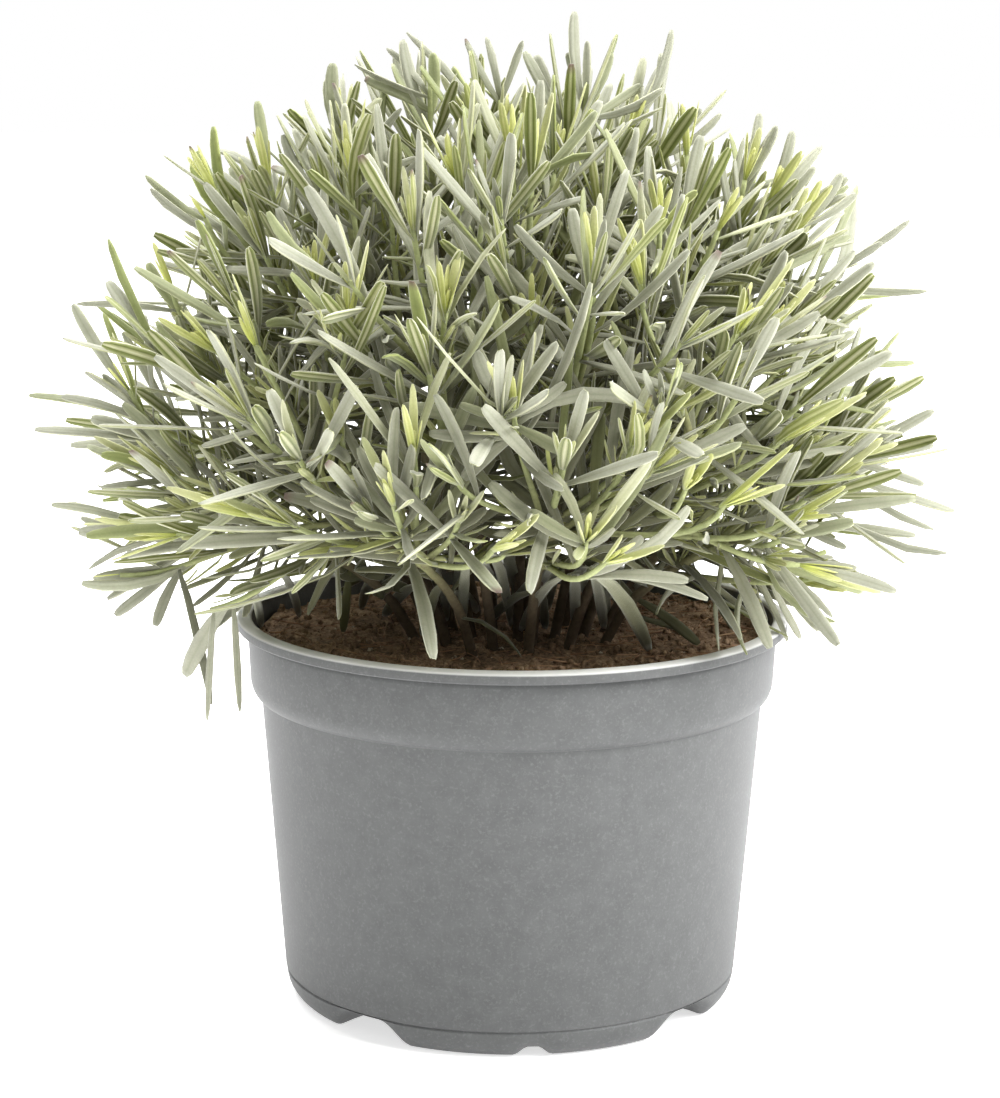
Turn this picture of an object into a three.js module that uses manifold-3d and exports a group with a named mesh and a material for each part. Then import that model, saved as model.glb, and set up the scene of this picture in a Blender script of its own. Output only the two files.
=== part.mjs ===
// Potted lavender: a round moulded nursery pot with four feet, the growing medium that fills it,
// and a dome of leafy stems, each standing in a hole of its own in the growing medium.
// Millimetres, +Z up, -Y to the front. The origin is on the pot's axis, in the plane under its feet.

import * as THREE from 'three';
import { mergeVertices } from 'three/addons/utils/BufferGeometryUtils.js';
import Module from 'manifold-3d';

const wasm = await Module();
wasm.setup();

// Pot, driving dimensions.
const POT_HEIGHT = 134.5;
const LIP_RADIUS = 95;
const LIP_THICKNESS = 4;
const LIP_ROUNDING = 2.6;
const LIP_CROWN = 1.2;
const LIP_UNDERCUT = 0.9;
const LIP_UNDERCUT_HEIGHT = 2.5;
const COLLAR_TOP_RADIUS = 91.2;
const COLLAR_FOOT_RADIUS = 90.5;
const COLLAR_FOOT_HEIGHT = 113.5;
const CREASE_RADIUS = 86.7;
const CREASE_HEIGHT = 106.7;
const INNER_CREASE_HEIGHT = 106.2;
const BASE_RADIUS = 79;
const FLOOR_UNDERSIDE = 9.5;
const WALL = 1.3;
const POT_SIDES = 36;

// Feet: one ring under the wall, cut by four gaps, with a small notch in the middle of each foot.
const FOOT_OUTER_FLAT = 72;
const FOOT_OUTER_REACH = 6.6;
const FOOT_INNER_FLAT = 62;
const FOOT_INNER_REACH = 4;
const FOOT_COUNT = 4;
const FRONT_FOOT_TURN = THREE.MathUtils.degToRad(-84);
const GAP_WIDTH_BELOW = 34;
const GAP_WIDTH_ABOVE = 14;
const NOTCH_WIDTH_BELOW = 11;
const NOTCH_WIDTH_ABOVE = 5;
const NOTCH_HEIGHT = 2.8;
const CUTTER_START = 52;
const CUTTER_LENGTH = 40;
const FOOT_HOLLOW_OUTER = 74;
const FOOT_HOLLOW_INNER = 61;
const FOOT_HOLLOW_FLOOR = 4.2;
const FOOT_HOLLOW_HALF_ANGLE = THREE.MathUtils.degToRad(27);

// Drain holes in the floor: one in the middle and a ring of them.
const DRAIN_RADIUS = 4.5;
const DRAIN_RING_RADIUS = 38;
const DRAIN_RING_COUNT = 4;

// Growing medium.
const SOIL_HEIGHT = 127;
const SOIL_ROUGHNESS = 0.9;
const SOIL_EDGE_DROP = 1;
const SOIL_RINGS = [75, 55, 31];
const CLEARANCE = 0.3;

// Leafy stems: their feet stand on a small round crown, their tips on a dome.
const STEM_COUNT = 30;
const GOLDEN_ANGLE = Math.PI * (3 - Math.sqrt(5));
const CROWN_RADIUS = 38;
const BURIED_LENGTH = 18;
const DOME_CENTRE = new THREE.Vector3(-3, -5, SOIL_HEIGHT + 38);
const DOME_RADIUS = 119;
const DOME_RISE = 138;
const WIDEST_TIP_ANGLE = THREE.MathUtils.degToRad(91);
const FRONT_LIFT = 22;
const FOOT_LEAN = 0.45;
const TIP_LIFT = 0.8;
const FOOT_STIFFNESS = 0.38;
const TIP_STIFFNESS = 0.36;
const STEM_RADIUS_BELOW = 1.9;
const STEM_RADIUS_ABOVE = 1.2;
const STEM_STEPS = 4;

// Side shoots: two on each stem.
const SIDE_SHOOT_COUNT = 2;
const SIDE_SHOOT_STARTS = [0.58, 0.66];
const SIDE_SHOOT_REACH = 29;
const SIDE_SHOOT_RADIUS = 1.2;
const SIDE_SHOOT_STEPS = 3;
const SIDE_SHOOT_TURN_ABOVE = 1.6;
const SIDE_SHOOT_TURN_BELOW = 0.35;
const SIDE_SHOOT_SPLAY = 0.45;
const SIDE_SHOOT_DROP = 0.2;
const SIDE_SHOOT_STIFFNESS = 0.35;
const SIDE_SHOOT_ROOM = 4.8;
const SIDE_SHOOT_SWINGS = [0, 0.25, -0.25, 0.5, -0.5, 0.75, -0.75, 1, -1, 1.25, -1.25, 1.5];

// Leaves: opposite pairs, each pair a quarter turn from the last, counted down from the shoot's tip.
const LEAF_WIDTH = 5;
const LEAF_THICKNESS = 1.25;
const LEAF_RINGS = [
  { along: 0.28, width: 0.92 },
  { along: 0.88, width: 0.96 },
];
const LEAF_ROOT_DEPTH = 0.45;
const STEM_PAIRS = [
  { below: 4, pitch: 17, length: 31, sag: 0.03 },
  { below: 14, pitch: 40, length: 41, sag: 0.1 },
  { below: 29, pitch: 62, length: 43, sag: 0.3 },
];
const SIDE_SHOOT_PAIRS = [
  { below: 3, pitch: 20, length: 30, sag: 0.05 },
  { below: 13, pitch: 46, length: 40, sag: 0.16 },
];
const LEAF_CURL = 0.22;
const LEAF_GAP = 0.45;
const LEAF_SWINGS = [0, 16, -16, 32, -32, 48, -48];
const LEAF_PITCHES = [0, -14, 14];
const LEAF_SHORTENINGS = [1, 0.82, 0.66];
const SEED = 71;

const UP = new THREE.Vector3(0, 0, 1);

// Solids

function asSolid(geometry) {
  const bare = new THREE.BufferGeometry();
  bare.setAttribute('position', geometry.getAttribute('position').clone());
  bare.setIndex(geometry.getIndex());
  const merged = mergeVertices(bare, 1e-4);
  const points = merged.getAttribute('position').array;
  const corners = Array.from(merged.getIndex().array);
  const triangles = [];
  for (let i = 0; i < corners.length; i += 3) {
    const [a, b, c] = corners.slice(i, i + 3);
    if (a !== b && b !== c && c !== a) triangles.push(a, b, c);
  }
  return new wasm.Manifold(new wasm.Mesh({
    numProp: 3,
    vertProperties: new Float32Array(points),
    triVerts: new Uint32Array(triangles),
  }));
}

function asMesh(solid, name, look) {
  const { vertProperties, triVerts } = solid.getMesh();
  const geometry = new THREE.BufferGeometry();
  geometry.setAttribute('position', new THREE.BufferAttribute(vertProperties, 3));
  geometry.setIndex(new THREE.BufferAttribute(triVerts, 1));
  geometry.computeVertexNormals();
  const mesh = new THREE.Mesh(geometry, new THREE.MeshStandardMaterial(look));
  mesh.name = name;
  return mesh;
}

// A closed solid of revolution about Z from [radius, height] points that run anticlockwise in section.
function turned(outline) {
  const points = outline.map(([radius, height]) => new THREE.Vector2(radius, height));
  const geometry = new THREE.LatheGeometry(points, POT_SIDES);
  return asSolid(geometry.rotateX(Math.PI / 2));
}

// Points of a quarter ellipse from angle `from` to angle `to`, both in degrees, ends included.
function arc(radius, height, reachOut, reachUp, from, to, steps) {
  return Array.from({ length: steps + 1 }, (_, i) => {
    const angle = THREE.MathUtils.degToRad(from + ((to - from) * i) / steps);
    return [radius + reachOut * Math.cos(angle), height + reachUp * Math.sin(angle)];
  });
}

// A closed solid through a list of rings of points. Each end is a flat cap, or the point given for it.
function skinned(rings, root = null, tip = null) {
  const sides = rings[0].length;
  const last = (rings.length - 1) * sides;
  const points = rings.flat();
  const corners = [];
  for (let low = 0; low < last; low += sides) {
    for (let side = 0; side < sides; side += 1) {
      const next = (side + 1) % sides;
      corners.push(low + side, low + next, low + sides + next);
      corners.push(low + side, low + sides + next, low + sides + side);
    }
  }
  closeEnd(points, corners, (side) => (sides - side) % sides, sides, root);
  closeEnd(points, corners, (side) => last + (side % sides), sides, tip);
  const geometry = new THREE.BufferGeometry().setFromPoints(points);
  geometry.setIndex(corners);
  return asSolid(geometry);
}

function closeEnd(points, corners, corner, sides, point) {
  if (point) {
    points.push(point);
    for (let side = 0; side < sides; side += 1) {
      corners.push(corner(side), corner(side + 1), points.length - 1);
    }
  } else {
    for (let side = 1; side < sides - 1; side += 1) {
      corners.push(corner(0), corner(side), corner(side + 1));
    }
  }
}

// Pot

function insideOfPot(inset) {
  return [
    [BASE_RADIUS - WALL - inset, FLOOR_UNDERSIDE + WALL + inset],
    [CREASE_RADIUS - WALL - inset, INNER_CREASE_HEIGHT],
    [COLLAR_FOOT_RADIUS - WALL - inset, COLLAR_FOOT_HEIGHT],
    [COLLAR_TOP_RADIUS - WALL - inset, POT_HEIGHT - LIP_CROWN],
  ];
}

function potShell() {
  const inside = insideOfPot(0);
  const lipUnderside = POT_HEIGHT - LIP_THICKNESS;
  const underLip = COLLAR_TOP_RADIUS - LIP_UNDERCUT;
  return turned([
    [0, FLOOR_UNDERSIDE],
    [BASE_RADIUS, FLOOR_UNDERSIDE],
    ...arc(CREASE_RADIUS, COLLAR_FOOT_HEIGHT, COLLAR_FOOT_RADIUS - CREASE_RADIUS,
      COLLAR_FOOT_HEIGHT - CREASE_HEIGHT, -90, 0, 3),
    [COLLAR_TOP_RADIUS, lipUnderside - LIP_UNDERCUT_HEIGHT],
    [underLip, lipUnderside],
    [LIP_RADIUS, lipUnderside],
    ...arc(LIP_RADIUS - LIP_ROUNDING, POT_HEIGHT - LIP_CROWN, LIP_ROUNDING, LIP_CROWN, 0, 90, 2),
    [underLip, POT_HEIGHT],
    ...inside.reverse(),
    [0, FLOOR_UNDERSIDE + WALL],
  ]);
}

// The ring that the feet are cut from.
function footRing() {
  const top = FLOOR_UNDERSIDE + WALL / 2;
  const inner = arc(FOOT_INNER_FLAT, FLOOR_UNDERSIDE, FOOT_INNER_REACH, FLOOR_UNDERSIDE, 180, 270, 3);
  return turned([
    ...inner,
    ...arc(FOOT_OUTER_FLAT, FLOOR_UNDERSIDE, FOOT_OUTER_REACH, FLOOR_UNDERSIDE, -90, 0, 3),
    [FOOT_OUTER_FLAT + FOOT_OUTER_REACH, top],
    [FOOT_INNER_FLAT - FOOT_INNER_REACH, top],
    inner[0],
  ]);
}

// A radial cutter with an S-shaped side on each hand, `below` wide at the ground, `above` at its top.
function radialCutter(turn, below, above, height) {
  const section = new THREE.Shape();
  section.moveTo(-below / 2, -1);
  section.lineTo(below / 2, -1);
  section.lineTo(below / 2, 0);
  section.bezierCurveTo(above / 2, 0, below / 2, height, above / 2, height);
  section.lineTo(-above / 2, height);
  section.bezierCurveTo(-below / 2, height, -above / 2, 0, -below / 2, 0);
  const geometry = new THREE.ExtrudeGeometry(section, {
    depth: CUTTER_LENGTH, bevelEnabled: false, curveSegments: 3,
  });
  geometry.rotateX(Math.PI / 2);
  geometry.rotateZ(Math.PI / 2);
  geometry.translate(CUTTER_START, 0, 0);
  geometry.rotateZ(turn);
  return asSolid(geometry);
}

// The hollow inside one foot, open to the inside of the pot, or, with an inset, what fills it.
function footHollow(foot, inset) {
  const outer = FOOT_HOLLOW_OUTER - inset;
  const inner = FOOT_HOLLOW_INNER + inset;
  const half = FOOT_HOLLOW_HALF_ANGLE - inset / inner;
  const section = new THREE.Shape();
  section.absarc(0, 0, outer, -half, half, false);
  section.absarc(0, 0, inner, half, -half, true);
  const depth = FLOOR_UNDERSIDE + 2 * WALL - FOOT_HOLLOW_FLOOR - inset;
  const geometry = new THREE.ExtrudeGeometry(section, { depth, bevelEnabled: false, curveSegments: 4 });
  geometry.translate(0, 0, FOOT_HOLLOW_FLOOR + inset);
  geometry.rotateZ(footTurn(foot));
  return asSolid(geometry);
}

function footTurn(foot) {
  return FRONT_FOOT_TURN + (foot * 2 * Math.PI) / FOOT_COUNT;
}

function makeFeet() {
  let feet = footRing();
  for (let foot = 0; foot < FOOT_COUNT; foot += 1) {
    const middle = footTurn(foot);
    const gapMiddle = middle + Math.PI / FOOT_COUNT;
    feet = feet
      .subtract(radialCutter(gapMiddle, GAP_WIDTH_BELOW, GAP_WIDTH_ABOVE, FLOOR_UNDERSIDE))
      .subtract(radialCutter(middle, NOTCH_WIDTH_BELOW, NOTCH_WIDTH_ABOVE, NOTCH_HEIGHT));
  }
  return feet;
}

function drainHole(x, y) {
  const geometry = new THREE.CylinderGeometry(DRAIN_RADIUS, DRAIN_RADIUS, 4 * WALL, 10);
  geometry.rotateX(Math.PI / 2);
  geometry.translate(x, y, FLOOR_UNDERSIDE + WALL / 2);
  return asSolid(geometry);
}

function makePot() {
  let pot = potShell().add(makeFeet()).subtract(drainHole(0, 0));
  for (let hole = 0; hole < DRAIN_RING_COUNT; hole += 1) {
    const turn = (hole * 2 * Math.PI) / DRAIN_RING_COUNT;
    pot = pot.subtract(drainHole(DRAIN_RING_RADIUS * Math.cos(turn), DRAIN_RING_RADIUS * Math.sin(turn)));
  }
  for (let foot = 0; foot < FOOT_COUNT; foot += 1) {
    pot = pot.subtract(footHollow(foot, 0));
  }
  return pot;
}

// Growing medium

// Height of the loose surface: low waves that never repeat across the pot.
function soilSurface(x, y) {
  const waves = Math.sin(0.11 * x + 0.7) * Math.cos(0.13 * y) + Math.sin(0.23 * x - 0.19 * y);
  return SOIL_HEIGHT + SOIL_ROUGHNESS * 0.5 * waves;
}

function makeSoil() {
  const side = insideOfPot(CLEARANCE);
  const edgeRadius = COLLAR_FOOT_RADIUS - WALL - CLEARANCE;
  const below = [[0, side[0][1]], ...side.slice(0, 3), [edgeRadius, SOIL_HEIGHT - SOIL_EDGE_DROP]];
  const outline = [...below, ...SOIL_RINGS.map((radius) => [radius, SOIL_HEIGHT]), [0, SOIL_HEIGHT]];
  const lathed = new THREE.LatheGeometry(
    outline.map(([radius, height]) => new THREE.Vector2(radius, height)), POT_SIDES);
  lathed.rotateX(Math.PI / 2);
  const place = lathed.getAttribute('position');
  for (let i = 0; i < place.count; i += 1) {
    const onTop = place.getZ(i) > SOIL_HEIGHT - SOIL_EDGE_DROP / 2;
    if (onTop) place.setZ(i, soilSurface(place.getX(i), place.getY(i)));
  }
  let soil = asSolid(lathed);
  for (let foot = 0; foot < FOOT_COUNT; foot += 1) {
    soil = soil.add(footHollow(foot, CLEARANCE));
  }
  return soil;
}

// Leafy stems

// A draw between two values that gives the same run of values for the same seed.
function seededDraw(seed) {
  let state = Math.imul(seed, 2654435761) >>> 0;
  return (low, high) => {
    state = (Math.imul(state, 1664525) + 1013904223) >>> 0;
    return low + ((high - low) * state) / 4294967296;
  };
}

// The unit vector tilted by `pitch` from upright towards `turn` round the pot.
function spread(turn, pitch) {
  return new THREE.Vector3(
    Math.sin(pitch) * Math.cos(turn), Math.sin(pitch) * Math.sin(turn), Math.cos(pitch));
}

function blend(a, weightA, b, weightB) {
  return a.clone().multiplyScalar(weightA).addScaledVector(b, weightB);
}

// The unit vector square to `axis` that is `turn` round it from `level`.
function around(axis, level, turn) {
  const across = blend(level, 1, axis, -level.dot(axis)).normalize();
  const over = new THREE.Vector3().crossVectors(axis, across);
  return blend(across, Math.cos(turn), over, Math.sin(turn));
}

// The course of one main stem: an arch from its foot on the crown to its tip on the dome.
function stemCourse(index) {
  const draw = seededDraw(SEED + index);
  const share = (index + 0.5) / STEM_COUNT;
  const turn = index * GOLDEN_ANGLE + draw(-0.14, 0.14);
  const tipAngle = Math.acos(1 - share * (1 - Math.cos(WIDEST_TIP_ANGLE)));
  const outward = spread(turn, tipAngle);
  const size = draw(0.93, 1.04);
  const foot = spread(turn, Math.PI / 2).multiplyScalar(CROWN_RADIUS * Math.sqrt(share));
  foot.z = SOIL_HEIGHT;
  const tip = new THREE.Vector3(
    DOME_RADIUS * size * outward.x, DOME_RADIUS * size * outward.y, DOME_RISE * size * outward.z);
  tip.add(DOME_CENTRE);
  tip.z += FRONT_LIFT * share * share * Math.max(0, -outward.y);
  const start = blend(outward, FOOT_LEAN, UP, 1).normalize();
  const end = blend(outward, 1, UP, TIP_LIFT).normalize();
  const length = foot.distanceTo(tip);
  const curve = new THREE.CubicBezierCurve3(foot, blend(foot, 1, start, FOOT_STIFFNESS * length),
    blend(tip, 1, end, -TIP_STIFFNESS * length), tip);
  return {
    index,
    share,
    draw,
    curve,
    points: curve.getPoints(STEM_STEPS),
    tip,
    end,
    start,
    foot,
    buried: blend(foot, 1, start, -BURIED_LENGTH),
    level: spread(turn + Math.PI / 2, Math.PI / 2),
    twist: draw(0, Math.PI / 2),
    radiusBelow: STEM_RADIUS_BELOW,
    radiusAbove: STEM_RADIUS_ABOVE,
  };
}

// The course of a side shoot: it leaves its stem, bends out and turns up beside the stem's tip.
function sideShootCourse(stem, order, turn, reach) {
  const from = SIDE_SHOOT_STARTS[order];
  const away = around(stem.end, stem.level, turn);
  const root = blend(stem.curve.getPoint(from), 1, away, SIDE_SHOOT_RADIUS / 2);
  const end = blend(stem.end, 1, away, SIDE_SHOOT_SPLAY).normalize();
  const tip = blend(stem.tip, 1, away, reach).addScaledVector(stem.end, -SIDE_SHOOT_DROP * reach);
  const along = stem.curve.getTangent(from);
  const length = root.distanceTo(tip);
  const leaving = blend(along, 0.8, away, 0.6).normalize();
  const handle = SIDE_SHOOT_STIFFNESS * length;
  const curve = new THREE.CubicBezierCurve3(
    root, blend(root, 1, leaving, handle), blend(tip, 1, end, -handle), tip);
  return {
    curve,
    points: curve.getPoints(SIDE_SHOOT_STEPS),
    tip,
    end,
    level: new THREE.Vector3().crossVectors(stem.end, away),
    twist: stem.twist,
    radiusBelow: SIDE_SHOOT_RADIUS,
    radiusAbove: SIDE_SHOOT_RADIUS * 0.9,
  };
}

// The middle of a shoot's wood at a length `below` its tip, with its direction and radius there.
function woodBelowTip(shoot, below) {
  let step = shoot.points.length - 1;
  let left = below;
  while (step > 1 && left > shoot.points[step].distanceTo(shoot.points[step - 1])) {
    left -= shoot.points[step].distanceTo(shoot.points[step - 1]);
    step -= 1;
  }
  const low = shoot.points[step - 1];
  const high = shoot.points[step];
  const share = 1 - left / low.distanceTo(high);
  const wholeShare = (step - 1 + share) / (shoot.points.length - 1);
  return {
    middle: low.clone().lerp(high, share),
    along: high.clone().sub(low).normalize(),
    radius: THREE.MathUtils.lerp(shoot.radiusBelow, shoot.radiusAbove, wholeShare),
  };
}

// A leaf on one face of a square shoot. It leaves the face at `pitch` to the shoot, swung by `swing`
// from the face's own direction, and curls up and sags along its length.
function leafCourse(shoot, pair, faceTurn, swing, pitch, length) {
  const wood = woodBelowTip(shoot, pair.below);
  const face = around(wood.along, shoot.level, faceTurn);
  const root = blend(wood.middle, 1, face, wood.radius * Math.SQRT1_2 - LEAF_ROOT_DEPTH);
  const outward = around(wood.along, shoot.level, faceTurn + swing);
  const along = blend(wood.along, Math.cos(pitch), outward, Math.sin(pitch));
  const across = new THREE.Vector3().crossVectors(wood.along, outward).normalize();
  const at = (part) => root.clone()
    .addScaledVector(along, part * length)
    .addScaledVector(wood.along, LEAF_CURL * part * part * length)
    .addScaledVector(UP, -pair.sag * part * part * length);
  return { across, at };
}

// Clearance between neighbours

// Least distance between the segments a-b and c-d.
function segmentDistance(a, b, c, d) {
  const u = b.clone().sub(a);
  const v = d.clone().sub(c);
  const w = a.clone().sub(c);
  const uu = u.dot(u);
  const uv = u.dot(v);
  const vv = v.dot(v);
  const uw = u.dot(w);
  const vw = v.dot(w);
  const spanned = uu * vv - uv * uv;
  let s = spanned > 1e-9 ? THREE.MathUtils.clamp((uv * vw - vv * uw) / spanned, 0, 1) : 0;
  const t = THREE.MathUtils.clamp((uv * s + vw) / vv, 0, 1);
  s = THREE.MathUtils.clamp((uv * t - uw) / uu, 0, 1);
  return w.addScaledVector(u, s).addScaledVector(v, -t).length();
}

function rodsAlong(points, radius, node) {
  return points.slice(1).map((end, i) => ({ from: points[i], to: end, radius, node }));
}

function rodsApart(rod, other) {
  const apart = rod.radius + other.radius + (rod.node === other.node ? 0 : LEAF_GAP);
  return segmentDistance(rod.from, rod.to, other.from, other.to) > apart;
}

// True where a new shoot or leaf clears every other node all along, and its own past its root.
function clearOfRods(rods, placed) {
  return rods.every((rod, i) => placed.every(
    (other) => (other.node === rod.node && (i === 0 || other.root)) || rodsApart(rod, other)));
}

// True where a round point of this radius stays above the growing medium and off the pot's lip.
function clearOfPot(point, radius) {
  const reach = Math.hypot(point.x, point.y);
  if (reach - radius > LIP_RADIUS + 2 * CLEARANCE) return point.z > radius;
  const floor = reach + radius < COLLAR_TOP_RADIUS - 2 * WALL ? SOIL_HEIGHT + SOIL_ROUGHNESS : POT_HEIGHT;
  return point.z - radius > floor + 2 * CLEARANCE;
}

function rodsClearOfPot(rods) {
  return rods.every((rod) => [0, 0.25, 0.5, 0.75, 1].every(
    (share) => clearOfPot(blend(rod.from, 1 - share, rod.to, share), rod.radius)));
}

// Choosing places

function placeSideShoots(stem, placed) {
  const shoots = [];
  const widest = THREE.MathUtils.lerp(SIDE_SHOOT_TURN_ABOVE, SIDE_SHOOT_TURN_BELOW, stem.share);
  const firstTurn = stem.draw(-widest, widest);
  for (let order = 0; order < SIDE_SHOOT_COUNT; order += 1) {
    const reach = SIDE_SHOOT_REACH * stem.draw(0.9, 1.12);
    const preferred = firstTurn + order * Math.PI;
    for (const swing of SIDE_SHOOT_SWINGS) {
      const shoot = sideShootCourse(stem, order, preferred + swing, reach);
      const roomy = rodsAlong(shoot.points, SIDE_SHOOT_ROOM, stem.index);
      if (roomy.every((rod) => placed.every((other) => other.node === rod.node || rodsApart(rod, other)))
        && rodsClearOfPot(roomy)) {
        shoots.push(shoot);
        placed.push(...rodsAlong(shoot.points, SIDE_SHOOT_RADIUS, stem.index));
        break;
      }
    }
  }
  return shoots;
}

function placeLeaf(stem, shoot, pair, faceTurn, placed) {
  for (const shortening of LEAF_SHORTENINGS) {
    for (const pitchChange of LEAF_PITCHES) {
      for (const swing of LEAF_SWINGS) {
        const leaf = leafCourse(shoot, pair, faceTurn, THREE.MathUtils.degToRad(swing),
          THREE.MathUtils.degToRad(pair.pitch + pitchChange), pair.length * shortening);
        const parts = [0, ...LEAF_RINGS.map((ring) => ring.along), 1];
        const rods = rodsAlong(parts.map(leaf.at), LEAF_WIDTH / 2, stem.index);
        rods[0].root = true;
        if (clearOfRods(rods, placed) && rodsClearOfPot(rods)) {
          placed.push(...rods);
          return leaf;
        }
      }
    }
  }
  return null;
}

function placeLeaves(stem, shoot, pairs, placed) {
  const leaves = [];
  pairs.forEach((pair, order) => {
    for (let side = 0; side < 2; side += 1) {
      const faceTurn = shoot.twist + Math.PI / 4 + (order * Math.PI) / 2 + side * Math.PI;
      const grown = {
        ...pair,
        pitch: pair.pitch + stem.draw(-5, 5),
        length: pair.length * stem.draw(0.88, 1.08),
      };
      const leaf = placeLeaf(stem, shoot, grown, faceTurn, placed);
      if (leaf) leaves.push(leaf);
    }
  });
  return leaves;
}

// Solids of the leafy stems

// A square rod through `points`, its corners turned by `twist` from `level`.
function squareRod(points, tangents, level, twist, radii) {
  const rings = points.map((point, i) => [0, 1, 2, 3].map((corner) => {
    const outward = around(tangents[i], level, twist + (corner * Math.PI) / 2);
    return blend(point, 1, outward, radii[i]);
  }));
  return skinned(rings);
}

// The wood of a stem or side shoot, with its buried end below its foot if it has one.
function shootSolid(shoot) {
  const steps = shoot.points.length - 1;
  const points = [...shoot.points];
  const tangents = points.map((_, i) => shoot.curve.getTangent(i / steps));
  const radii = points.map((_, i) => THREE.MathUtils.lerp(shoot.radiusBelow, shoot.radiusAbove, i / steps));
  if (shoot.buried) {
    points.unshift(shoot.buried);
    tangents.unshift(shoot.start);
    radii.unshift(shoot.radiusBelow);
  }
  return squareRod(points, tangents, shoot.level, shoot.twist, radii);
}

// A three-sided blade: flat above, the midrib as a keel below, narrow at its root, blunt at its tip.
function leafSolid(leaf) {
  const rings = LEAF_RINGS.map(({ along, width }) => {
    const middle = leaf.at(along);
    const ahead = leaf.at(along + 0.05).sub(leaf.at(along - 0.05)).normalize();
    const under = new THREE.Vector3().crossVectors(leaf.across, ahead).normalize();
    const half = (LEAF_WIDTH * width) / 2;
    return [
      blend(middle, 1, leaf.across, half),
      blend(middle, 1, leaf.across, -half),
      blend(middle, 1, under, LEAF_THICKNESS),
    ];
  });
  return skinned(rings, leaf.at(0), leaf.at(1));
}

// The prism that a stem's buried end stands in, with a little air all round it.
function stemHole(stem) {
  const below = blend(stem.buried, 1, stem.start, -CLEARANCE);
  const above = blend(stem.foot, 1, stem.start, 4);
  const radius = STEM_RADIUS_BELOW + CLEARANCE * Math.SQRT2;
  return squareRod([below, above], [stem.start, stem.start], stem.level, stem.twist, [radius, radius]);
}

// Assembly

const stems = Array.from({ length: STEM_COUNT }, (_, index) => stemCourse(index));
const placed = stems.flatMap((stem) => rodsAlong(stem.points, STEM_RADIUS_BELOW, stem.index));
for (const stem of stems) {
  stem.sideShoots = placeSideShoots(stem, placed);
}
for (const stem of stems) {
  stem.leaves = placeLeaves(stem, stem, STEM_PAIRS, placed);
  for (const shoot of stem.sideShoots) {
    stem.leaves.push(...placeLeaves(stem, shoot, SIDE_SHOOT_PAIRS, placed));
  }
}

const pottedLavender = new THREE.Group();
pottedLavender.add(asMesh(makePot(), 'pot', { color: '#8d9092', roughness: 0.5, metalness: 0 }));

let soil = makeSoil();
for (const stem of stems) {
  soil = soil.subtract(stemHole(stem));
}
pottedLavender.add(asMesh(soil, 'soil', { color: '#3b2a20', roughness: 0.95, metalness: 0 }));

for (const stem of stems) {
  let solid = shootSolid(stem);
  for (const shoot of stem.sideShoots) {
    solid = solid.add(shootSolid(shoot));
  }
  for (const leaf of stem.leaves) {
    solid = solid.add(leafSolid(leaf));
  }
  const name = `leafy_stem_${String(stem.index + 1).padStart(2, '0')}`;
  pottedLavender.add(asMesh(solid, name, { color: '#a3ad80', roughness: 0.7, metalness: 0 }));
}

export default pottedLavender;
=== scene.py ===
# Potted lavender: a grey nursery pot on four feet, peat-based growing medium and a dome of leafy stems.
# Metres, +Z up, -Y to the front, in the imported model's own frame. Sizes of plant parts are in millimetres
# where their names end in _MM, because they repeat the part's own rule, and MM turns them to metres.

import math
import random

import bpy
import numpy as np
from mathutils import Matrix, noise, Vector


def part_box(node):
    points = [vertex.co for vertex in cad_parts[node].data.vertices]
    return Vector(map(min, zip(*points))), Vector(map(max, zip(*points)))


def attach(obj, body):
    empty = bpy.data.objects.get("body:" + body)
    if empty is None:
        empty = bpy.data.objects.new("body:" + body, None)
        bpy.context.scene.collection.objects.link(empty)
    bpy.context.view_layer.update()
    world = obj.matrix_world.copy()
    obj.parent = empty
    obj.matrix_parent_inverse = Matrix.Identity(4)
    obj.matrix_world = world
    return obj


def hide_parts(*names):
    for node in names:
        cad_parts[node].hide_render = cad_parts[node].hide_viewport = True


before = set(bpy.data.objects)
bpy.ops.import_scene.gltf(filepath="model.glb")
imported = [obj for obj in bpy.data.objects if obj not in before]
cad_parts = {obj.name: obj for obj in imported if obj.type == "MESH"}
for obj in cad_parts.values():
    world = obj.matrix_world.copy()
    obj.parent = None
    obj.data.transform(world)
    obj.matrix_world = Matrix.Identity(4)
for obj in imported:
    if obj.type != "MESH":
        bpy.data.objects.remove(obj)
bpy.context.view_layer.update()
MM = 0.001


# Nursery pot
# One injection-moulded piece of grey polypropylene, part of it recycled, with a lip to lift it by, a collar
# that pots nest on, a slight draft for the mould, and four hollow feet that let water run off below.

POT_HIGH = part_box("pot")[1]
POT_HEIGHT = POT_HIGH[2]
LIP_RADIUS = POT_HIGH[0]
LIP_THICKNESS = 0.004
LIP_UNDERSIDE = POT_HEIGHT - LIP_THICKNESS
LIP_ROUNDING = 0.0026
LIP_CROWN = 0.0012
LIP_CHAMFER = 0.0004
# How far below the lip's top the painted highlight along its top edge is at full strength.
PAINTED_HIGHLIGHT_DEPTH = 0.0007
COLLAR_TOP_RADIUS = 0.0912
COLLAR_FOOT_RADIUS = 0.0905
COLLAR_FOOT = 0.1135
UNDERCUT = 0.0009
UNDERCUT_HEIGHT = 0.0025
CREASE_RADIUS = 0.0867
CREASE = 0.1067
BASE_RADIUS = 0.079
FLOOR_UNDERSIDE = 0.0095
WALL = 0.0013
FLOOR = FLOOR_UNDERSIDE + WALL
GROOVE = 0.0006
POT_SIDES = 384
SAME_PLACE = 0.00001
SHARP_FROM = math.radians(32)

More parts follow.
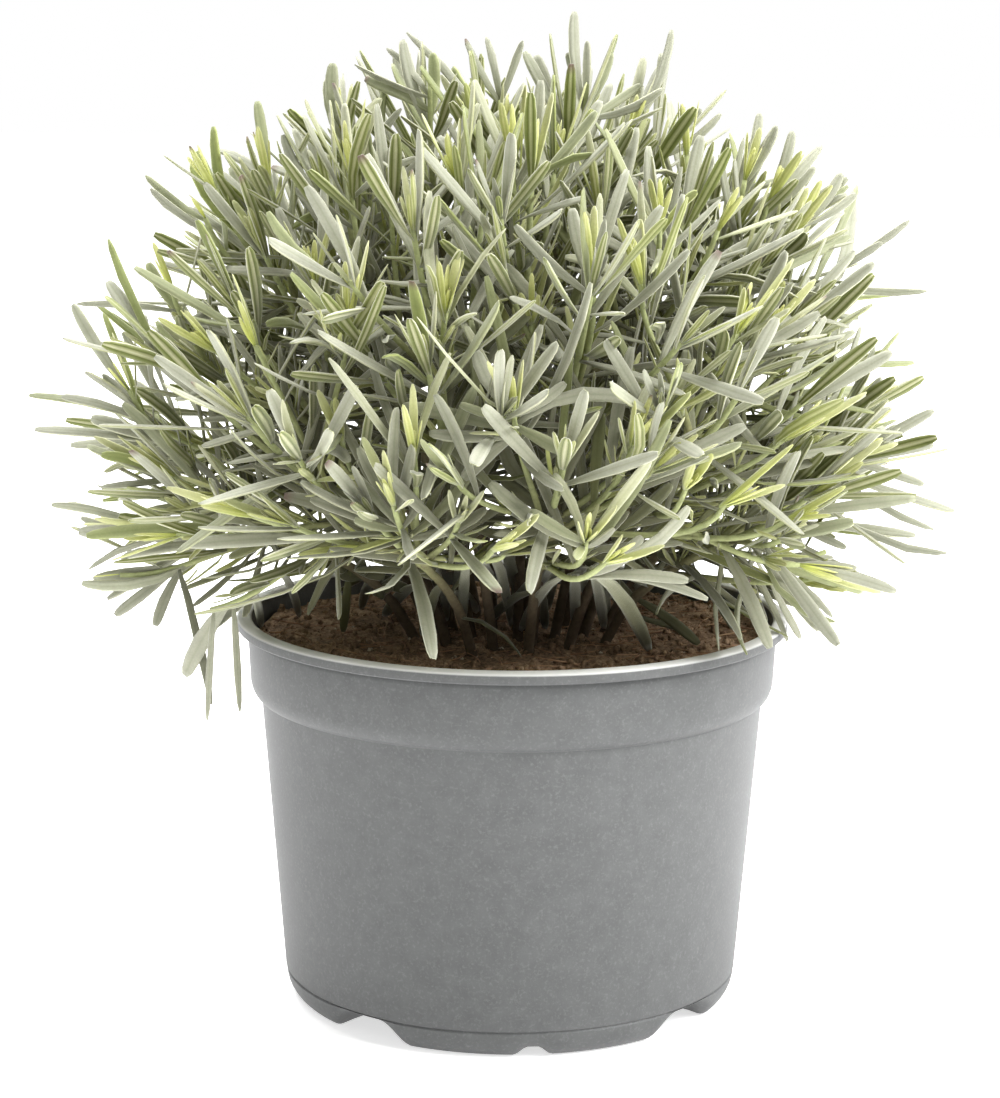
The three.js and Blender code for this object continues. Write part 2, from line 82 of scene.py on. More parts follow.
FOOT_OUTER_FLAT = 0.072
FOOT_OUTER_REACH = 0.0068
FOOT_INNER_FLAT = 0.062
FOOT_INNER_REACH = 0.004
FOOT_SOLE = 0.0018
FOOT_COUNT = 4
FRONT_FOOT_TURN = math.radians(-84)
GAP_ROOF = 0.0085
GAP_WIDE = 0.017
GAP_NARROW = 0.0068
NOTCH_ROOF = 0.0029
NOTCH_WIDE = 0.0066
NOTCH_NARROW = 0.0015

DRAIN_COUNT = 4
DRAIN_RADIUS = 0.0045
DRAIN_RING_RADIUS = 0.038
DRAIN_SIDES = 48


def arc(radius, height, reach_out, reach_up, start, end, steps):
    """Points of an ellipse's arc from one angle to another, in degrees, as (radius, height)."""
    angles = (math.radians(start + (end - start) * step / steps) for step in range(steps + 1))
    return [(radius + reach_out * math.cos(turn), height + reach_up * math.sin(turn)) for turn in angles]


def turned(name, outline, sides):
    """A circle extruded and scaled from point to point of its outline, as (radius, height)."""
    radius, height = outline[0]
    bpy.ops.object.select_all(action="DESELECT")
    bpy.ops.mesh.primitive_circle_add(vertices=sides, radius=radius, location=(0, 0, height))
    piece = bpy.context.object
    piece.name = piece.data.name = name
    bpy.ops.object.transform_apply()
    bpy.ops.object.mode_set(mode="EDIT")
    bpy.ops.mesh.select_all(action="SELECT")
    for (radius, height), (next_radius, next_height) in zip(outline, outline[1:]):
        bpy.ops.mesh.extrude_edges_move(TRANSFORM_OT_translate={"value": (0, 0, next_height - height)})
        scale = next_radius / radius
        bpy.ops.transform.resize(value=(scale, scale, 1), center_override=(0, 0, 0))
    return piece


def smoothed(share):
    """Eases a share from 0 to 1, flat at both ends."""
    share = np.clip(share, 0, 1)
    return share * share * (3 - 2 * share)


def off_middle(turn, count, start):
    """The angle from the nearest of `count` evenly spaced middles, the first of them at `start`."""
    spacing = 2 * math.pi / count
    return (turn - start + spacing / 2) % spacing - spacing / 2


def foot_lift(x, y):
    """How far the underside of the foot ring is above the ground: gaps, and a notch in each foot."""
    radius = np.hypot(x, y)
    turn = np.arctan2(y, x)
    from_gap = radius * abs(off_middle(turn, FOOT_COUNT, FRONT_FOOT_TURN + math.pi / FOOT_COUNT))
    from_notch = radius * abs(off_middle(turn, FOOT_COUNT, FRONT_FOOT_TURN))
    gap = GAP_ROOF * smoothed((GAP_WIDE - from_gap) / (GAP_WIDE - GAP_NARROW))
    notch = NOTCH_ROOF * smoothed((NOTCH_WIDE - from_notch) / (NOTCH_WIDE - NOTCH_NARROW))
    return np.maximum(gap, notch)


outside = [
    (DRAIN_RADIUS, FLOOR_UNDERSIDE),
    (FOOT_INNER_FLAT - FOOT_INNER_REACH - WALL, FLOOR_UNDERSIDE),
    *arc(FOOT_INNER_FLAT, FLOOR_UNDERSIDE, FOOT_INNER_REACH, FLOOR_UNDERSIDE, 180, 270, 5),
    *arc(FOOT_OUTER_FLAT, FLOOR_UNDERSIDE, FOOT_OUTER_REACH, FLOOR_UNDERSIDE, -90, -4, 9),
    (BASE_RADIUS - GROOVE, FLOOR_UNDERSIDE),
    (BASE_RADIUS, FLOOR_UNDERSIDE + GROOVE),
    (CREASE_RADIUS, CREASE - GROOVE / 2),
    *arc(CREASE_RADIUS, COLLAR_FOOT, COLLAR_FOOT_RADIUS - CREASE_RADIUS, COLLAR_FOOT - CREASE, -86, 0, 8),
    (COLLAR_TOP_RADIUS, LIP_UNDERSIDE - UNDERCUT_HEIGHT),
    (COLLAR_TOP_RADIUS - UNDERCUT / 3, LIP_UNDERSIDE - UNDERCUT_HEIGHT / 2),
    (COLLAR_TOP_RADIUS - UNDERCUT, LIP_UNDERSIDE),
    (LIP_RADIUS - LIP_CHAMFER, LIP_UNDERSIDE),
    (LIP_RADIUS, LIP_UNDERSIDE + LIP_CHAMFER),
    *arc(LIP_RADIUS - LIP_ROUNDING, POT_HEIGHT - LIP_CROWN, LIP_ROUNDING, LIP_CROWN, 0, 90, 6),
]
inner_lip = COLLAR_TOP_RADIUS - WALL
inside = [
    *arc(inner_lip + LIP_CROWN, POT_HEIGHT - LIP_CROWN, LIP_CROWN, LIP_CROWN, 90, 180, 4),
    (COLLAR_FOOT_RADIUS - WALL, COLLAR_FOOT),
    (CREASE_RADIUS - WALL, CREASE - GROOVE),
    (BASE_RADIUS - WALL, FLOOR),
    *arc(FOOT_OUTER_FLAT, FLOOR_UNDERSIDE, FOOT_OUTER_REACH - WALL, FLOOR_UNDERSIDE - FOOT_SOLE, 0, -90, 6),
    *arc(FOOT_INNER_FLAT, FLOOR_UNDERSIDE, FOOT_INNER_REACH - WALL, FLOOR_UNDERSIDE - FOOT_SOLE, 270, 180, 4),
    (FOOT_INNER_FLAT - FOOT_INNER_REACH, FLOOR),
    (DRAIN_RADIUS, FLOOR),
    (DRAIN_RADIUS, FLOOR_UNDERSIDE),
]
pot = turned("nursery_pot", outside + inside, POT_SIDES)
bpy.ops.object.mode_set(mode="OBJECT")

place = np.empty((len(pot.data.vertices), 3))
pot.data.vertices.foreach_get("co", place.ravel())
lift = foot_lift(place[:, 0], place[:, 1])
ring_of = np.arange(len(place)) // POT_SIDES
underside = (ring_of < len(outside)) & (place[:, 2] < FLOOR_UNDERSIDE)
place[underside, 2] = lift[underside] + place[underside, 2] * (1 - lift[underside] / FLOOR_UNDERSIDE)
upperside = (ring_of >= len(outside)) & (ring_of < len(outside) + len(inside) - 1)
place[upperside, 2] = np.maximum(place[upperside, 2], lift[upperside] + WALL)
pot.data.vertices.foreach_set("co", place.ravel())

bpy.ops.object.mode_set(mode="EDIT")
bpy.ops.mesh.select_all(action="SELECT")
bpy.ops.mesh.remove_doubles(threshold=SAME_PLACE)
bpy.ops.mesh.normals_make_consistent(inside=False)
bpy.ops.object.mode_set(mode="OBJECT")

bpy.ops.object.select_all(action="DESELECT")
for hole in range(DRAIN_COUNT):
    turn = hole * 2 * math.pi / DRAIN_COUNT
    at = (DRAIN_RING_RADIUS * math.cos(turn), DRAIN_RING_RADIUS * math.sin(turn), FLOOR_UNDERSIDE + WALL / 2)
    bpy.ops.mesh.primitive_cylinder_add(
        vertices=DRAIN_SIDES, radius=DRAIN_RADIUS, depth=4 * WALL, location=at)
    drill = bpy.context.object
    cut = pot.modifiers.new("drain hole", "BOOLEAN")
    cut.object = drill
    cut.operation = "DIFFERENCE"
    bpy.context.view_layer.objects.active = pot
    bpy.ops.object.modifier_apply(modifier=cut.name)
    bpy.data.objects.remove(drill)
bpy.ops.object.select_all(action="DESELECT")
pot.select_set(True)
bpy.context.view_layer.objects.active = pot
bpy.ops.object.shade_smooth_by_angle(angle=SHARP_FROM)


def linear(hex_colour):
    """A six-digit sRGB hex colour as the linear RGBA that a node takes."""
    parts = [int(hex_colour[i:i + 2], 16) / 255 for i in (0, 2, 4)]
    return *[c / 12.92 if c <= 0.04045 else ((c + 0.055) / 1.055) ** 2.4 for c in parts], 1.0


def node(tree, kind, settings=None, links=None):
    """Adds a node. Settings name its properties, input sockets or colour stops; links name what feeds it."""
    new = tree.nodes.new(kind)
    for name, value in (settings or {}).items():
        if name == "stops":
            elements = new.color_ramp.elements
            while len(elements) < len(value):
                elements.new(0.5)
            for element, (position, colour) in zip(elements, value):
                element.position = position
                element.color = linear(colour)
        elif isinstance(name, str) and hasattr(new, name):
            setattr(new, name, value)
        else:
            new.inputs[name].default_value = value
    for name, source in (links or {}).items():
        tree.links.new(source, new.inputs[name])
    return new


def material(name):
    """A new material with an empty node tree, and that tree."""
    new = bpy.data.materials.new(name)
    new.use_nodes = True
    new.node_tree.nodes.clear()
    return new, new.node_tree


# Injection-moulded polypropylene: satin, a touch cool, with the pale flecks of recycled stock under the
# skin. Flecks are about half a millimetre and the cloudy mottle 6 mm. The mould's grain is a tenth of a
# millimetre, and is drawn at 0.35 mm so that it shows. The top of the lip is painted pale: a painted
# highlight that stands for the light the rim catches.
polypropylene, tree = material("moulded_recycled_polypropylene")
where = node(tree, "ShaderNodeTexCoord").outputs["Object"]
cloud = node(tree, "ShaderNodeTexNoise", {"Scale": 1 / 0.006, "Detail": 4.0, "Roughness": 0.6},
             {"Vector": where})
fleck = node(tree, "ShaderNodeTexNoise", {"Scale": 1 / 0.0011, "Detail": 2.0, "Roughness": 0.7},
             {"Vector": where})
grain = node(tree, "ShaderNodeTexNoise", {"Scale": 1 / 0.0007, "Detail": 2.0, "Roughness": 0.6},
             {"Vector": where})
body_colour = node(tree, "ShaderNodeValToRGB", {"stops": [(0.32, "575858"), (0.68, "5F6060")]},
                   {"Fac": cloud.outputs["Fac"]})
fleck_share = node(tree, "ShaderNodeMapRange", {"From Min": 0.52, "From Max": 0.74, "To Max": 0.26},
                   {"Value": fleck.outputs["Fac"]})
flecked = node(tree, "ShaderNodeMix", {"data_type": "RGBA", 7: linear("868786")},
               {0: fleck_share.outputs["Result"], 6: body_colour.outputs["Color"]})
height = node(tree, "ShaderNodeSeparateXYZ", {}, {"Vector": where})
# Painted highlight: the lip's top edge turns pale towards its crown, standing for the light the rim catches.
painted_highlight = node(tree, "ShaderNodeMapRange",
              {"From Min": POT_HEIGHT - LIP_CROWN, "From Max": POT_HEIGHT - PAINTED_HIGHLIGHT_DEPTH, "To Max": 1.0},
              {"Value": height.outputs["Z"]})
pot_colour = node(tree, "ShaderNodeMix", {"data_type": "RGBA", 7: linear("DADAD8")},
                  {0: painted_highlight.outputs["Result"], 6: flecked.outputs[2]})
gloss = node(tree, "ShaderNodeMapRange", {"To Min": 0.44, "To Max": 0.58}, {"Value": cloud.outputs["Fac"]})
skin = node(tree, "ShaderNodeBump", {"Strength": 0.22, "Distance": 0.0002}, {"Height": grain.outputs["Fac"]})
shader = node(tree, "ShaderNodeBsdfPrincipled", {"IOR": 1.49, "Specular IOR Level": 0.3},
              {"Base Color": pot_colour.outputs[2], "Roughness": gloss.outputs["Result"],
               "Normal": skin.outputs["Normal"]})
node(tree, "ShaderNodeOutputMaterial", {}, {"Surface": shader.outputs["BSDF"]})

pot.data.materials.clear()
pot.data.materials.append(polypropylene)
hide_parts("pot")
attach(pot, "root")


# Growing medium
# Milled peat with wood fibre and a little perlite, pressed round the root ball by the potting machine. Its
# plug fills the pot to just under the lip. The loose top has crumbs, fibres and grit.

SOIL_HEIGHT = 0.127
SOIL_ROUGHNESS_MM = 0.9
CLOD_SIZE = 0.009
CLOD_HEIGHT = 0.0011
CRUST_SIZE = 0.0042
CRUST_HEIGHT = 0.0007
SOIL_EDGE_DROP = 0.001
SOIL_GAP = 0.0003
SOIL_SIDES = 288
SOIL_RING_STEP = 0.0014
SOIL_CORE_RADIUS = 0.0012


def soil_surface(x, y):
    """Height of the loose top: the source's low waves, in metres."""
    x, y = x / MM, y / MM
    waves = np.sin(0.11 * x + 0.7) * np.cos(0.13 * y) + np.sin(0.23 * x - 0.19 * y)
    return SOIL_HEIGHT + SOIL_ROUGHNESS_MM * 0.5 * waves * MM


def crumbled(x, y):
    """The waves with clods and crumbs on them."""
    clods = noise.fractal((x / CLOD_SIZE, y / CLOD_SIZE, 1.7), 0.9, 2.1, 3)
    crumbs = noise.ridged_multi_fractal((x / CRUST_SIZE, y / CRUST_SIZE, 4.3), 0.8, 2.2, 3, 0.9, 1.6)
    return soil_surface(x, y) + CLOD_HEIGHT * clods + CRUST_HEIGHT * (crumbs - 1.2)


edge_radius = COLLAR_FOOT_RADIUS - WALL - SOIL_GAP
soil_rings = [(radius, SOIL_HEIGHT) for radius in
              np.arange(edge_radius - SOIL_EDGE_DROP, SOIL_CORE_RADIUS, -SOIL_RING_STEP)]
soil = turned("peat_growing_medium", [
    (SOIL_CORE_RADIUS, FLOOR + SOIL_GAP),
    (BASE_RADIUS - WALL - SOIL_GAP - GROOVE, FLOOR + SOIL_GAP),
    (CREASE_RADIUS - WALL - SOIL_GAP, CREASE - GROOVE),
    (edge_radius, COLLAR_FOOT),
    (edge_radius, SOIL_HEIGHT - SOIL_EDGE_DROP),
    *soil_rings,
], SOIL_SIDES)
bpy.ops.mesh.edge_face_add()
bpy.ops.mesh.poke()
bpy.ops.mesh.select_all(action="DESELECT")
bpy.ops.mesh.select_non_manifold()
bpy.ops.mesh.edge_face_add()
bpy.ops.mesh.select_all(action="SELECT")
bpy.ops.mesh.normals_make_consistent(inside=False)
bpy.ops.object.mode_set(mode="OBJECT")
for vertex in soil.data.vertices:
    if vertex.co.z > SOIL_HEIGHT - SOIL_EDGE_DROP / 2:
        vertex.co.z = crumbled(vertex.co.x, vertex.co.y)
bpy.ops.object.shade_smooth()


# Peat: dull and damp, dark in its pores and brown where it has dried. It reflects almost nothing. The pores
# are about 0.8 mm and the dried patches 12 mm.
peat, tree = material("damp_milled_peat")
where = node(tree, "ShaderNodeTexCoord").outputs["Object"]
pores = node(tree, "ShaderNodeTexNoise", {"Scale": 1 / 0.0016, "Detail": 5.0, "Roughness": 0.75},
             {"Vector": where})
drying = node(tree, "ShaderNodeTexNoise", {"Scale": 1 / 0.012, "Detail": 3.0}, {"Vector": where})
dried = node(tree, "ShaderNodeMath", {"operation": "MULTIPLY", 1: 0.38}, {0: drying.outputs["Fac"]})
mixed = node(tree, "ShaderNodeMath", {"operation": "MULTIPLY_ADD", 1: 0.62},
             {0: pores.outputs["Fac"], 2: dried.outputs[0]})
peat_colour = node(tree, "ShaderNodeValToRGB",
                   {"stops": [(0.36, "4E4031"), (0.5, "866E57"), (0.62, "AF967B"), (0.74, "CDB89D")]},
                   {"Fac": mixed.outputs[0]})
relief = node(tree, "ShaderNodeBump", {"Strength": 0.9, "Distance": 0.0008}, {"Height": pores.outputs["Fac"]})
shader = node(tree, "ShaderNodeBsdfPrincipled", {"Roughness": 0.93, "Specular IOR Level": 0.18},
              {"Base Color": peat_colour.outputs["Color"], "Normal": relief.outputs["Normal"]})
node(tree, "ShaderNodeOutputMaterial", {}, {"Surface": shader.outputs["BSDF"]})
soil.data.materials.append(peat)
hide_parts("soil")
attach(soil, "root")


def prototype(piece):
    """Takes a modelled piece's vertices and faces, and removes the piece."""
    mesh = piece.data
    place = np.empty((len(mesh.vertices), 3))
    mesh.vertices.foreach_get("co", place.ravel())
    faces = [tuple(face.vertices) for face in mesh.polygons]
    bpy.data.objects.remove(piece)
    bpy.data.meshes.remove(mesh)
    return place, faces


def assembled(name, copies, finishes):
    """One mesh of many placed copies, each (vertices, faces, material number)."""
    places, faces, numbers = [], [], []
    count = 0
    for place, shape_faces, number in copies:
        places.append(place)
        faces.extend([tuple(corner + count for corner in face) for face in shape_faces])
        numbers.extend([number] * len(shape_faces))
        count += len(place)
    mesh = bpy.data.meshes.new(name)
    mesh.from_pydata(np.concatenate(places).tolist(), [], faces)
    mesh.polygons.foreach_set("material_index", numbers)
    mesh.polygons.foreach_set("use_smooth", [True] * len(faces))
    for finish in finishes:
        mesh.materials.append(finish)
    piece = bpy.data.objects.new(name, mesh)
    bpy.context.scene.collection.objects.link(piece)
    return piece


def on_soil(draw, inner, outer):
    """A point drawn evenly over a ring of the top, with the top's height there."""
    radius = math.sqrt(draw.uniform(inner ** 2, outer ** 2))
    turn = draw.uniform(0, 2 * math.pi)
    x, y = radius * math.cos(turn), radius * math.sin(turn)
    return np.array([x, y, crumbled(x, y)])


def tumbled(draw):
    """A rotation matrix drawn at random."""
    x, y, z = [draw.uniform(0, 2 * math.pi) for _ in range(3)]
    return np.array(Matrix.Rotation(x, 3, "X") @ Matrix.Rotation(y, 3, "Y") @ Matrix.Rotation(z, 3, "Z"))


# Crumbs of peat and grains of perlite that lie loose on the top, most of each in sight and the rest sunk in.
CRUMB_COUNT = 2350
CRUMB_SIZES = (0.0005, 0.0019)
CRUMB_RARITY = 2.6
GRIT_COUNT = 90
GRIT_SIZES = (0.0004, 0.0011)
GRIT_RARITY = 1.5
GRAIN_STRETCHES = ((0.6, 1.5), (0.7, 1.2), (0.5, 0.9))
GRAIN_RISE = 0.15
LOOSE_EDGE = 0.0875
LOOSE_SEED = 31

draw = random.Random(LOOSE_SEED)
bpy.ops.object.select_all(action="DESELECT")
bpy.ops.mesh.primitive_ico_sphere_add(subdivisions=1, radius=1)
crumb = bpy.context.object
bpy.ops.object.mode_set(mode="EDIT")
bpy.ops.mesh.subdivide(number_cuts=1, fractal=0.9, seed=5)
bpy.ops.object.mode_set(mode="OBJECT")
crumb_place, crumb_faces = prototype(crumb)


def loose_grains(count, sizes, rarity, number):
    """Grains over the whole top, most of them near the smaller size."""
    for _ in range(count):
        size = sizes[0] + (sizes[1] - sizes[0]) * draw.random() ** rarity
        stretch = np.array([draw.uniform(*stretches) for stretches in GRAIN_STRETCHES])
        place = (crumb_place * stretch * size) @ tumbled(draw).T
        middle = on_soil(draw, 0.0, LOOSE_EDGE)
        yield place + middle + np.array([0, 0, size * GRAIN_RISE]), crumb_faces, number


# Expanded perlite: brittle white volcanic glass, dulled by peat dust in spots of about 0.4 mm.
perlite, tree = material("expanded_perlite_grit")
where = node(tree, "ShaderNodeTexCoord").outputs["Object"]
dust = node(tree, "ShaderNodeTexNoise", {"Scale": 1 / 0.0008, "Detail": 3.0}, {"Vector": where})
dusted = node(tree, "ShaderNodeValToRGB", {"stops": [(0.35, "6E5B48"), (0.6, "C9BDA8")]},
              {"Fac": dust.outputs["Fac"]})
shader = node(tree, "ShaderNodeBsdfPrincipled", {"Roughness": 0.8}, {"Base Color": dusted.outputs["Color"]})
node(tree, "ShaderNodeOutputMaterial", {}, {"Surface": shader.outputs["BSDF"]})

crumbs = assembled("peat_crumbs", [
    *loose_grains(CRUMB_COUNT, CRUMB_SIZES, CRUMB_RARITY, 0),
    *loose_grains(GRIT_COUNT, GRIT_SIZES, GRIT_RARITY, 1),
], [peat, perlite])
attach(crumbs, "root")

# Wood fibres and rootlets, a fifth to half a millimetre thick, that lie across the crumbs.
FIBRE_COUNT = 420
FIBRE_LENGTHS = (0.004, 0.016)
FIBRE_RADII = (0.00011, 0.00028)
FIBRE_BOWS = (-0.35, 0.35)
FIBRE_TILTS = (-0.12, 0.2)
FIBRE_SIDES = 4
FIBRE_STEPS = 5

bpy.ops.mesh.primitive_cylinder_add(vertices=FIBRE_SIDES, radius=1, depth=1, end_fill_type="NGON")
fibre = bpy.context.object
bpy.ops.object.mode_set(mode="EDIT")
for cut_number in range(1, FIBRE_STEPS):
    bpy.ops.mesh.select_all(action="SELECT")
    bpy.ops.mesh.bisect(plane_co=(0, 0, cut_number / FIBRE_STEPS - 0.5), plane_no=(0, 0, 1))
bpy.ops.object.mode_set(mode="OBJECT")
fibre_place, fibre_faces = prototype(fibre)


def lying_fibres(count):
    """Fibres that curve along the top, each point of them at the top's height there."""
    for _ in range(count):
        length = draw.uniform(*FIBRE_LENGTHS)
        radius = draw.uniform(*FIBRE_RADII)
        middle = on_soil(draw, 0.0, LOOSE_EDGE - length / 2)
        turn = draw.uniform(0, 2 * math.pi)
        ahead = np.array([math.cos(turn), math.sin(turn), 0])
        aside = np.array([-math.sin(turn), math.cos(turn), 0])
        bow = draw.uniform(*FIBRE_BOWS) * length
        tilt = draw.uniform(*FIBRE_TILTS)
        share = fibre_place[:, 2:3]
        place = middle + ahead * share * length + aside * (bow * (1 - 4 * share ** 2) / 2)
        place = place + aside * fibre_place[:, 0:1] * radius
        place[:, 2] += fibre_place[:, 1] * radius + radius + (share[:, 0] + 0.5) * tilt * length
        yield place, fibre_faces, 0


# Wood fibre: pale, dry and dull, with darker lengths about 5 mm long where peat has stained it.
wood_fibre, tree = material("dry_wood_fibre")
where = node(tree, "ShaderNodeTexCoord").outputs["Object"]
strand = node(tree, "ShaderNodeTexNoise", {"Scale": 1 / 0.005, "Detail": 2.0}, {"Vector": where})
stained = node(tree, "ShaderNodeValToRGB", {"stops": [(0.3, "7A5A44"), (0.55, "A17E60"), (0.75, "C9AB88")]},
               {"Fac": strand.outputs["Fac"]})
shader = node(tree, "ShaderNodeBsdfPrincipled", {"Roughness": 0.85}, {"Base Color": stained.outputs["Color"]})
node(tree, "ShaderNodeOutputMaterial", {}, {"Surface": shader.outputs["BSDF"]})
fibres = assembled("peat_fibres", lying_fibres(FIBRE_COUNT), [wood_fibre])
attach(fibres, "root")


# Leafy stems
# Each is one woody-based square stem that arches from the crown to the dome, with side shoots, pairs of
# narrow leaves with rolled-under margins, small leaves in the axils and a tuft of young leaves at each tip.

STEM_COUNT = 30
GOLDEN_ANGLE = math.pi * (3 - math.sqrt(5))
SEED = 71
SOIL_HEIGHT_MM = 127
CROWN_RADIUS_MM = 38
DOME_CENTRE_MM = np.array([-3, -5, SOIL_HEIGHT_MM + 38])
DOME_RADIUS_MM = 119
DOME_RISE_MM = 138
WIDEST_TIP_ANGLE = math.radians(91)
FRONT_LIFT_MM = 22
FOOT_LEAN = 0.45
TIP_LIFT = 0.8
FOOT_STIFFNESS = 0.38
TIP_STIFFNESS = 0.36
BURIED_LENGTH_MM = 18
STEM_RADIUS_BELOW_MM = 1.9
STEM_RADIUS_ABOVE_MM = 1.2
STEM_STEPS = 4
STEM_SIZES = (0.93, 1.04)
TURN_SPREAD = 0.14
SHARE_STEP = 0.0001

SIDE_SHOOT_STARTS = (0.58, 0.66)
SIDE_SHOOT_REACH_MM = 29
SIDE_SHOOT_SIZES = (0.9, 1.12)
SIDE_SHOOT_RADIUS_MM = 1.2
SIDE_SHOOT_TAPER = 0.9
SIDE_SHOOT_STEPS = 3
SIDE_SHOOT_TURN_ABOVE = 1.6
SIDE_SHOOT_TURN_BELOW = 0.35
SIDE_SHOOT_SPLAY = 0.45
SIDE_SHOOT_LEAVING = (0.8, 0.6)
SIDE_SHOOT_DROP = 0.2
SIDE_SHOOT_STIFFNESS = 0.35
SIDE_SHOOT_ROOM_MM = 4.8
SIDE_SHOOT_SWINGS = (0, 0.25, -0.25, 0.5, -0.5, 0.75, -0.75, 1, -1, 1.25, -1.25, 1.5)

LEAF_WIDTH_MM = 5
LEAF_ROOT_DEPTH_MM = 0.45
LEAF_ROD_ENDS = (0, 0.28, 0.88, 1)
LEAF_CURL = 0.22
LEAF_GAP_MM = 0.45
LEAF_SWINGS = (0, 16, -16, 32, -32, 48, -48)
LEAF_PITCHES = (0, -14, 14)
LEAF_SHORTENINGS = (1, 0.82, 0.66)
LEAF_SIZES = (0.88, 1.08)
PITCH_CHANGES = (-5, 5)
MOST_RODS = 4000
ROD_STEPS = 5
NEARLY_PARALLEL = 1e-9
CLEARANCE_MM = 0.3
UP = np.array([0.0, 0.0, 1.0])

# Pairs of full-grown leaves, counted down from the tip: distance below it, pitch, length and sag.
STEM_PAIRS = ((4, 17, 31, 0.03), (14, 40, 41, 0.1), (29, 62, 43, 0.3))
SIDE_SHOOT_PAIRS = ((3, 20, 30, 0.05), (13, 46, 40, 0.16))


def seeded_draw(seed):
    """A draw between two values that gives the source's own run of values for a seed."""
    state = (seed * 2654435761) % 2 ** 32

    def between(low, high):
        nonlocal state
        state = (state * 1664525 + 1013904223) % 2 ** 32
        return low + (high - low) * state / 2 ** 32

    return between


def unit(vector):
    return vector / math.sqrt(vector @ vector)


def spread(turn, pitch):
    """The unit vector tilted by `pitch` from upright towards `turn` round the pot."""
    return np.array([math.sin(pitch) * math.cos(turn), math.sin(pitch) * math.sin(turn), math.cos(pitch)])


def around(axis, level, turn):
    """The unit vector square to `axis` that is `turn` round it from `level`."""
    across = unit(level - axis * (level @ axis))
    return across * math.cos(turn) + np.cross(axis, across) * math.sin(turn)


def arch(foot, foot_handle, tip_handle, tip, share):
    """Points of the cubic arch between two ends at each share of its way."""
    s = np.asarray(share, dtype=float).reshape(-1, 1)
    return ((1 - s) ** 3 * foot + 3 * s * (1 - s) ** 2 * foot_handle
            + 3 * s ** 2 * (1 - s) * tip_handle + s ** 3 * tip)


def direction_at(shoot, share):
    """The direction of a shoot's arch at a share of its way."""
    before, after = arch(*shoot["ends"], [share - SHARE_STEP, share + SHARE_STEP])
    return unit(after - before)


def shoot_course(ends, level, twist, radii, steps):
    """A shoot: its arch, the straight steps its leaves are set on, and what its leaves need to know."""
    points = arch(*ends, np.linspace(0, 1, steps + 1))
    return {"ends": ends, "points": points, "tip": ends[3], "end": unit(ends[3] - ends[2]),
            "level": level, "twist": twist, "radii": radii}


def stem_course(index):
    """One main stem, from its foot on the crown to its tip on the dome."""
    draw = seeded_draw(SEED + index)
    share = (index + 0.5) / STEM_COUNT
    turn = index * GOLDEN_ANGLE + draw(-TURN_SPREAD, TURN_SPREAD)
    tip_angle = math.acos(1 - share * (1 - math.cos(WIDEST_TIP_ANGLE)))
    outward = spread(turn, tip_angle)
    size = draw(*STEM_SIZES)
    foot = spread(turn, math.pi / 2) * CROWN_RADIUS_MM * math.sqrt(share)
    foot[2] = SOIL_HEIGHT_MM
    tip = np.array([DOME_RADIUS_MM, DOME_RADIUS_MM, DOME_RISE_MM]) * size * outward + DOME_CENTRE_MM
    tip[2] += FRONT_LIFT_MM * share * share * max(0, -outward[1])
    start = unit(outward * FOOT_LEAN + UP)
    end = unit(outward + UP * TIP_LIFT)
    length = math.dist(foot, tip)
    ends = (foot, foot + start * FOOT_STIFFNESS * length, tip - end * TIP_STIFFNESS * length, tip)
    stem = shoot_course(ends, spread(turn + math.pi / 2, math.pi / 2), draw(0, math.pi / 2),
                        (STEM_RADIUS_BELOW_MM, STEM_RADIUS_ABOVE_MM), STEM_STEPS)
    stem.update(index=index, share=share, draw=draw, start=start, foot=foot, outward=outward)
    return stem


def side_shoot_course(stem, start_share, turn, reach, drop=SIDE_SHOOT_DROP):
    """A side shoot: it leaves its stem, bends out and turns up beside the stem's tip."""
    away = around(stem["end"], stem["level"], turn)
    root = arch(*stem["ends"], [start_share])[0] + away * SIDE_SHOOT_RADIUS_MM / 2
    end = unit(stem["end"] + away * SIDE_SHOOT_SPLAY)
    tip = stem["tip"] + away * reach - stem["end"] * drop * reach
    ahead, aside = SIDE_SHOOT_LEAVING
    leaving = unit(direction_at(stem, start_share) * ahead + away * aside)
    handle = SIDE_SHOOT_STIFFNESS * math.dist(root, tip)
    ends = (root, root + leaving * handle, tip - end * handle, tip)
    radii = (SIDE_SHOOT_RADIUS_MM, SIDE_SHOOT_RADIUS_MM * SIDE_SHOOT_TAPER)
    return shoot_course(ends, np.cross(stem["end"], away), stem["twist"], radii, SIDE_SHOOT_STEPS)


def wood_below_tip(shoot, below):
    """The middle of a shoot's wood at a length below its tip, with its direction and radius there."""
    points = shoot["points"]
    step = len(points) - 1
    left = below
    while step > 1 and left > math.dist(points[step], points[step - 1]):
        left -= math.dist(points[step], points[step - 1])
        step -= 1
    low, high = points[step - 1], points[step]
    share = 1 - left / math.dist(low, high)
    whole_share = (step - 1 + share) / (len(points) - 1)
    below_radius, above_radius = shoot["radii"]
    radius = below_radius + (above_radius - below_radius) * whole_share
    return low + (high - low) * share, unit(high - low), radius


def leaf_course(shoot, below, face_turn, swing, pitch, length, sag, curl=LEAF_CURL, sway=0.0):
    """A leaf's line: it leaves the wood's face at a pitch, curls up, sags, and may sway to one side."""
    middle, along_wood, radius = wood_below_tip(shoot, below)
    face = around(along_wood, shoot["level"], face_turn)
    root = middle + face * (radius * math.sqrt(0.5) - LEAF_ROOT_DEPTH_MM)
    outward = around(along_wood, shoot["level"], face_turn + swing)
    along = along_wood * math.cos(pitch) + outward * math.sin(pitch)
    across = unit(np.cross(along_wood, outward))
    bend = along_wood * curl - UP * sag + across * sway
    return {"root": root, "along": along * length, "bend": bend * length, "hook": bend * 0, "across": across}


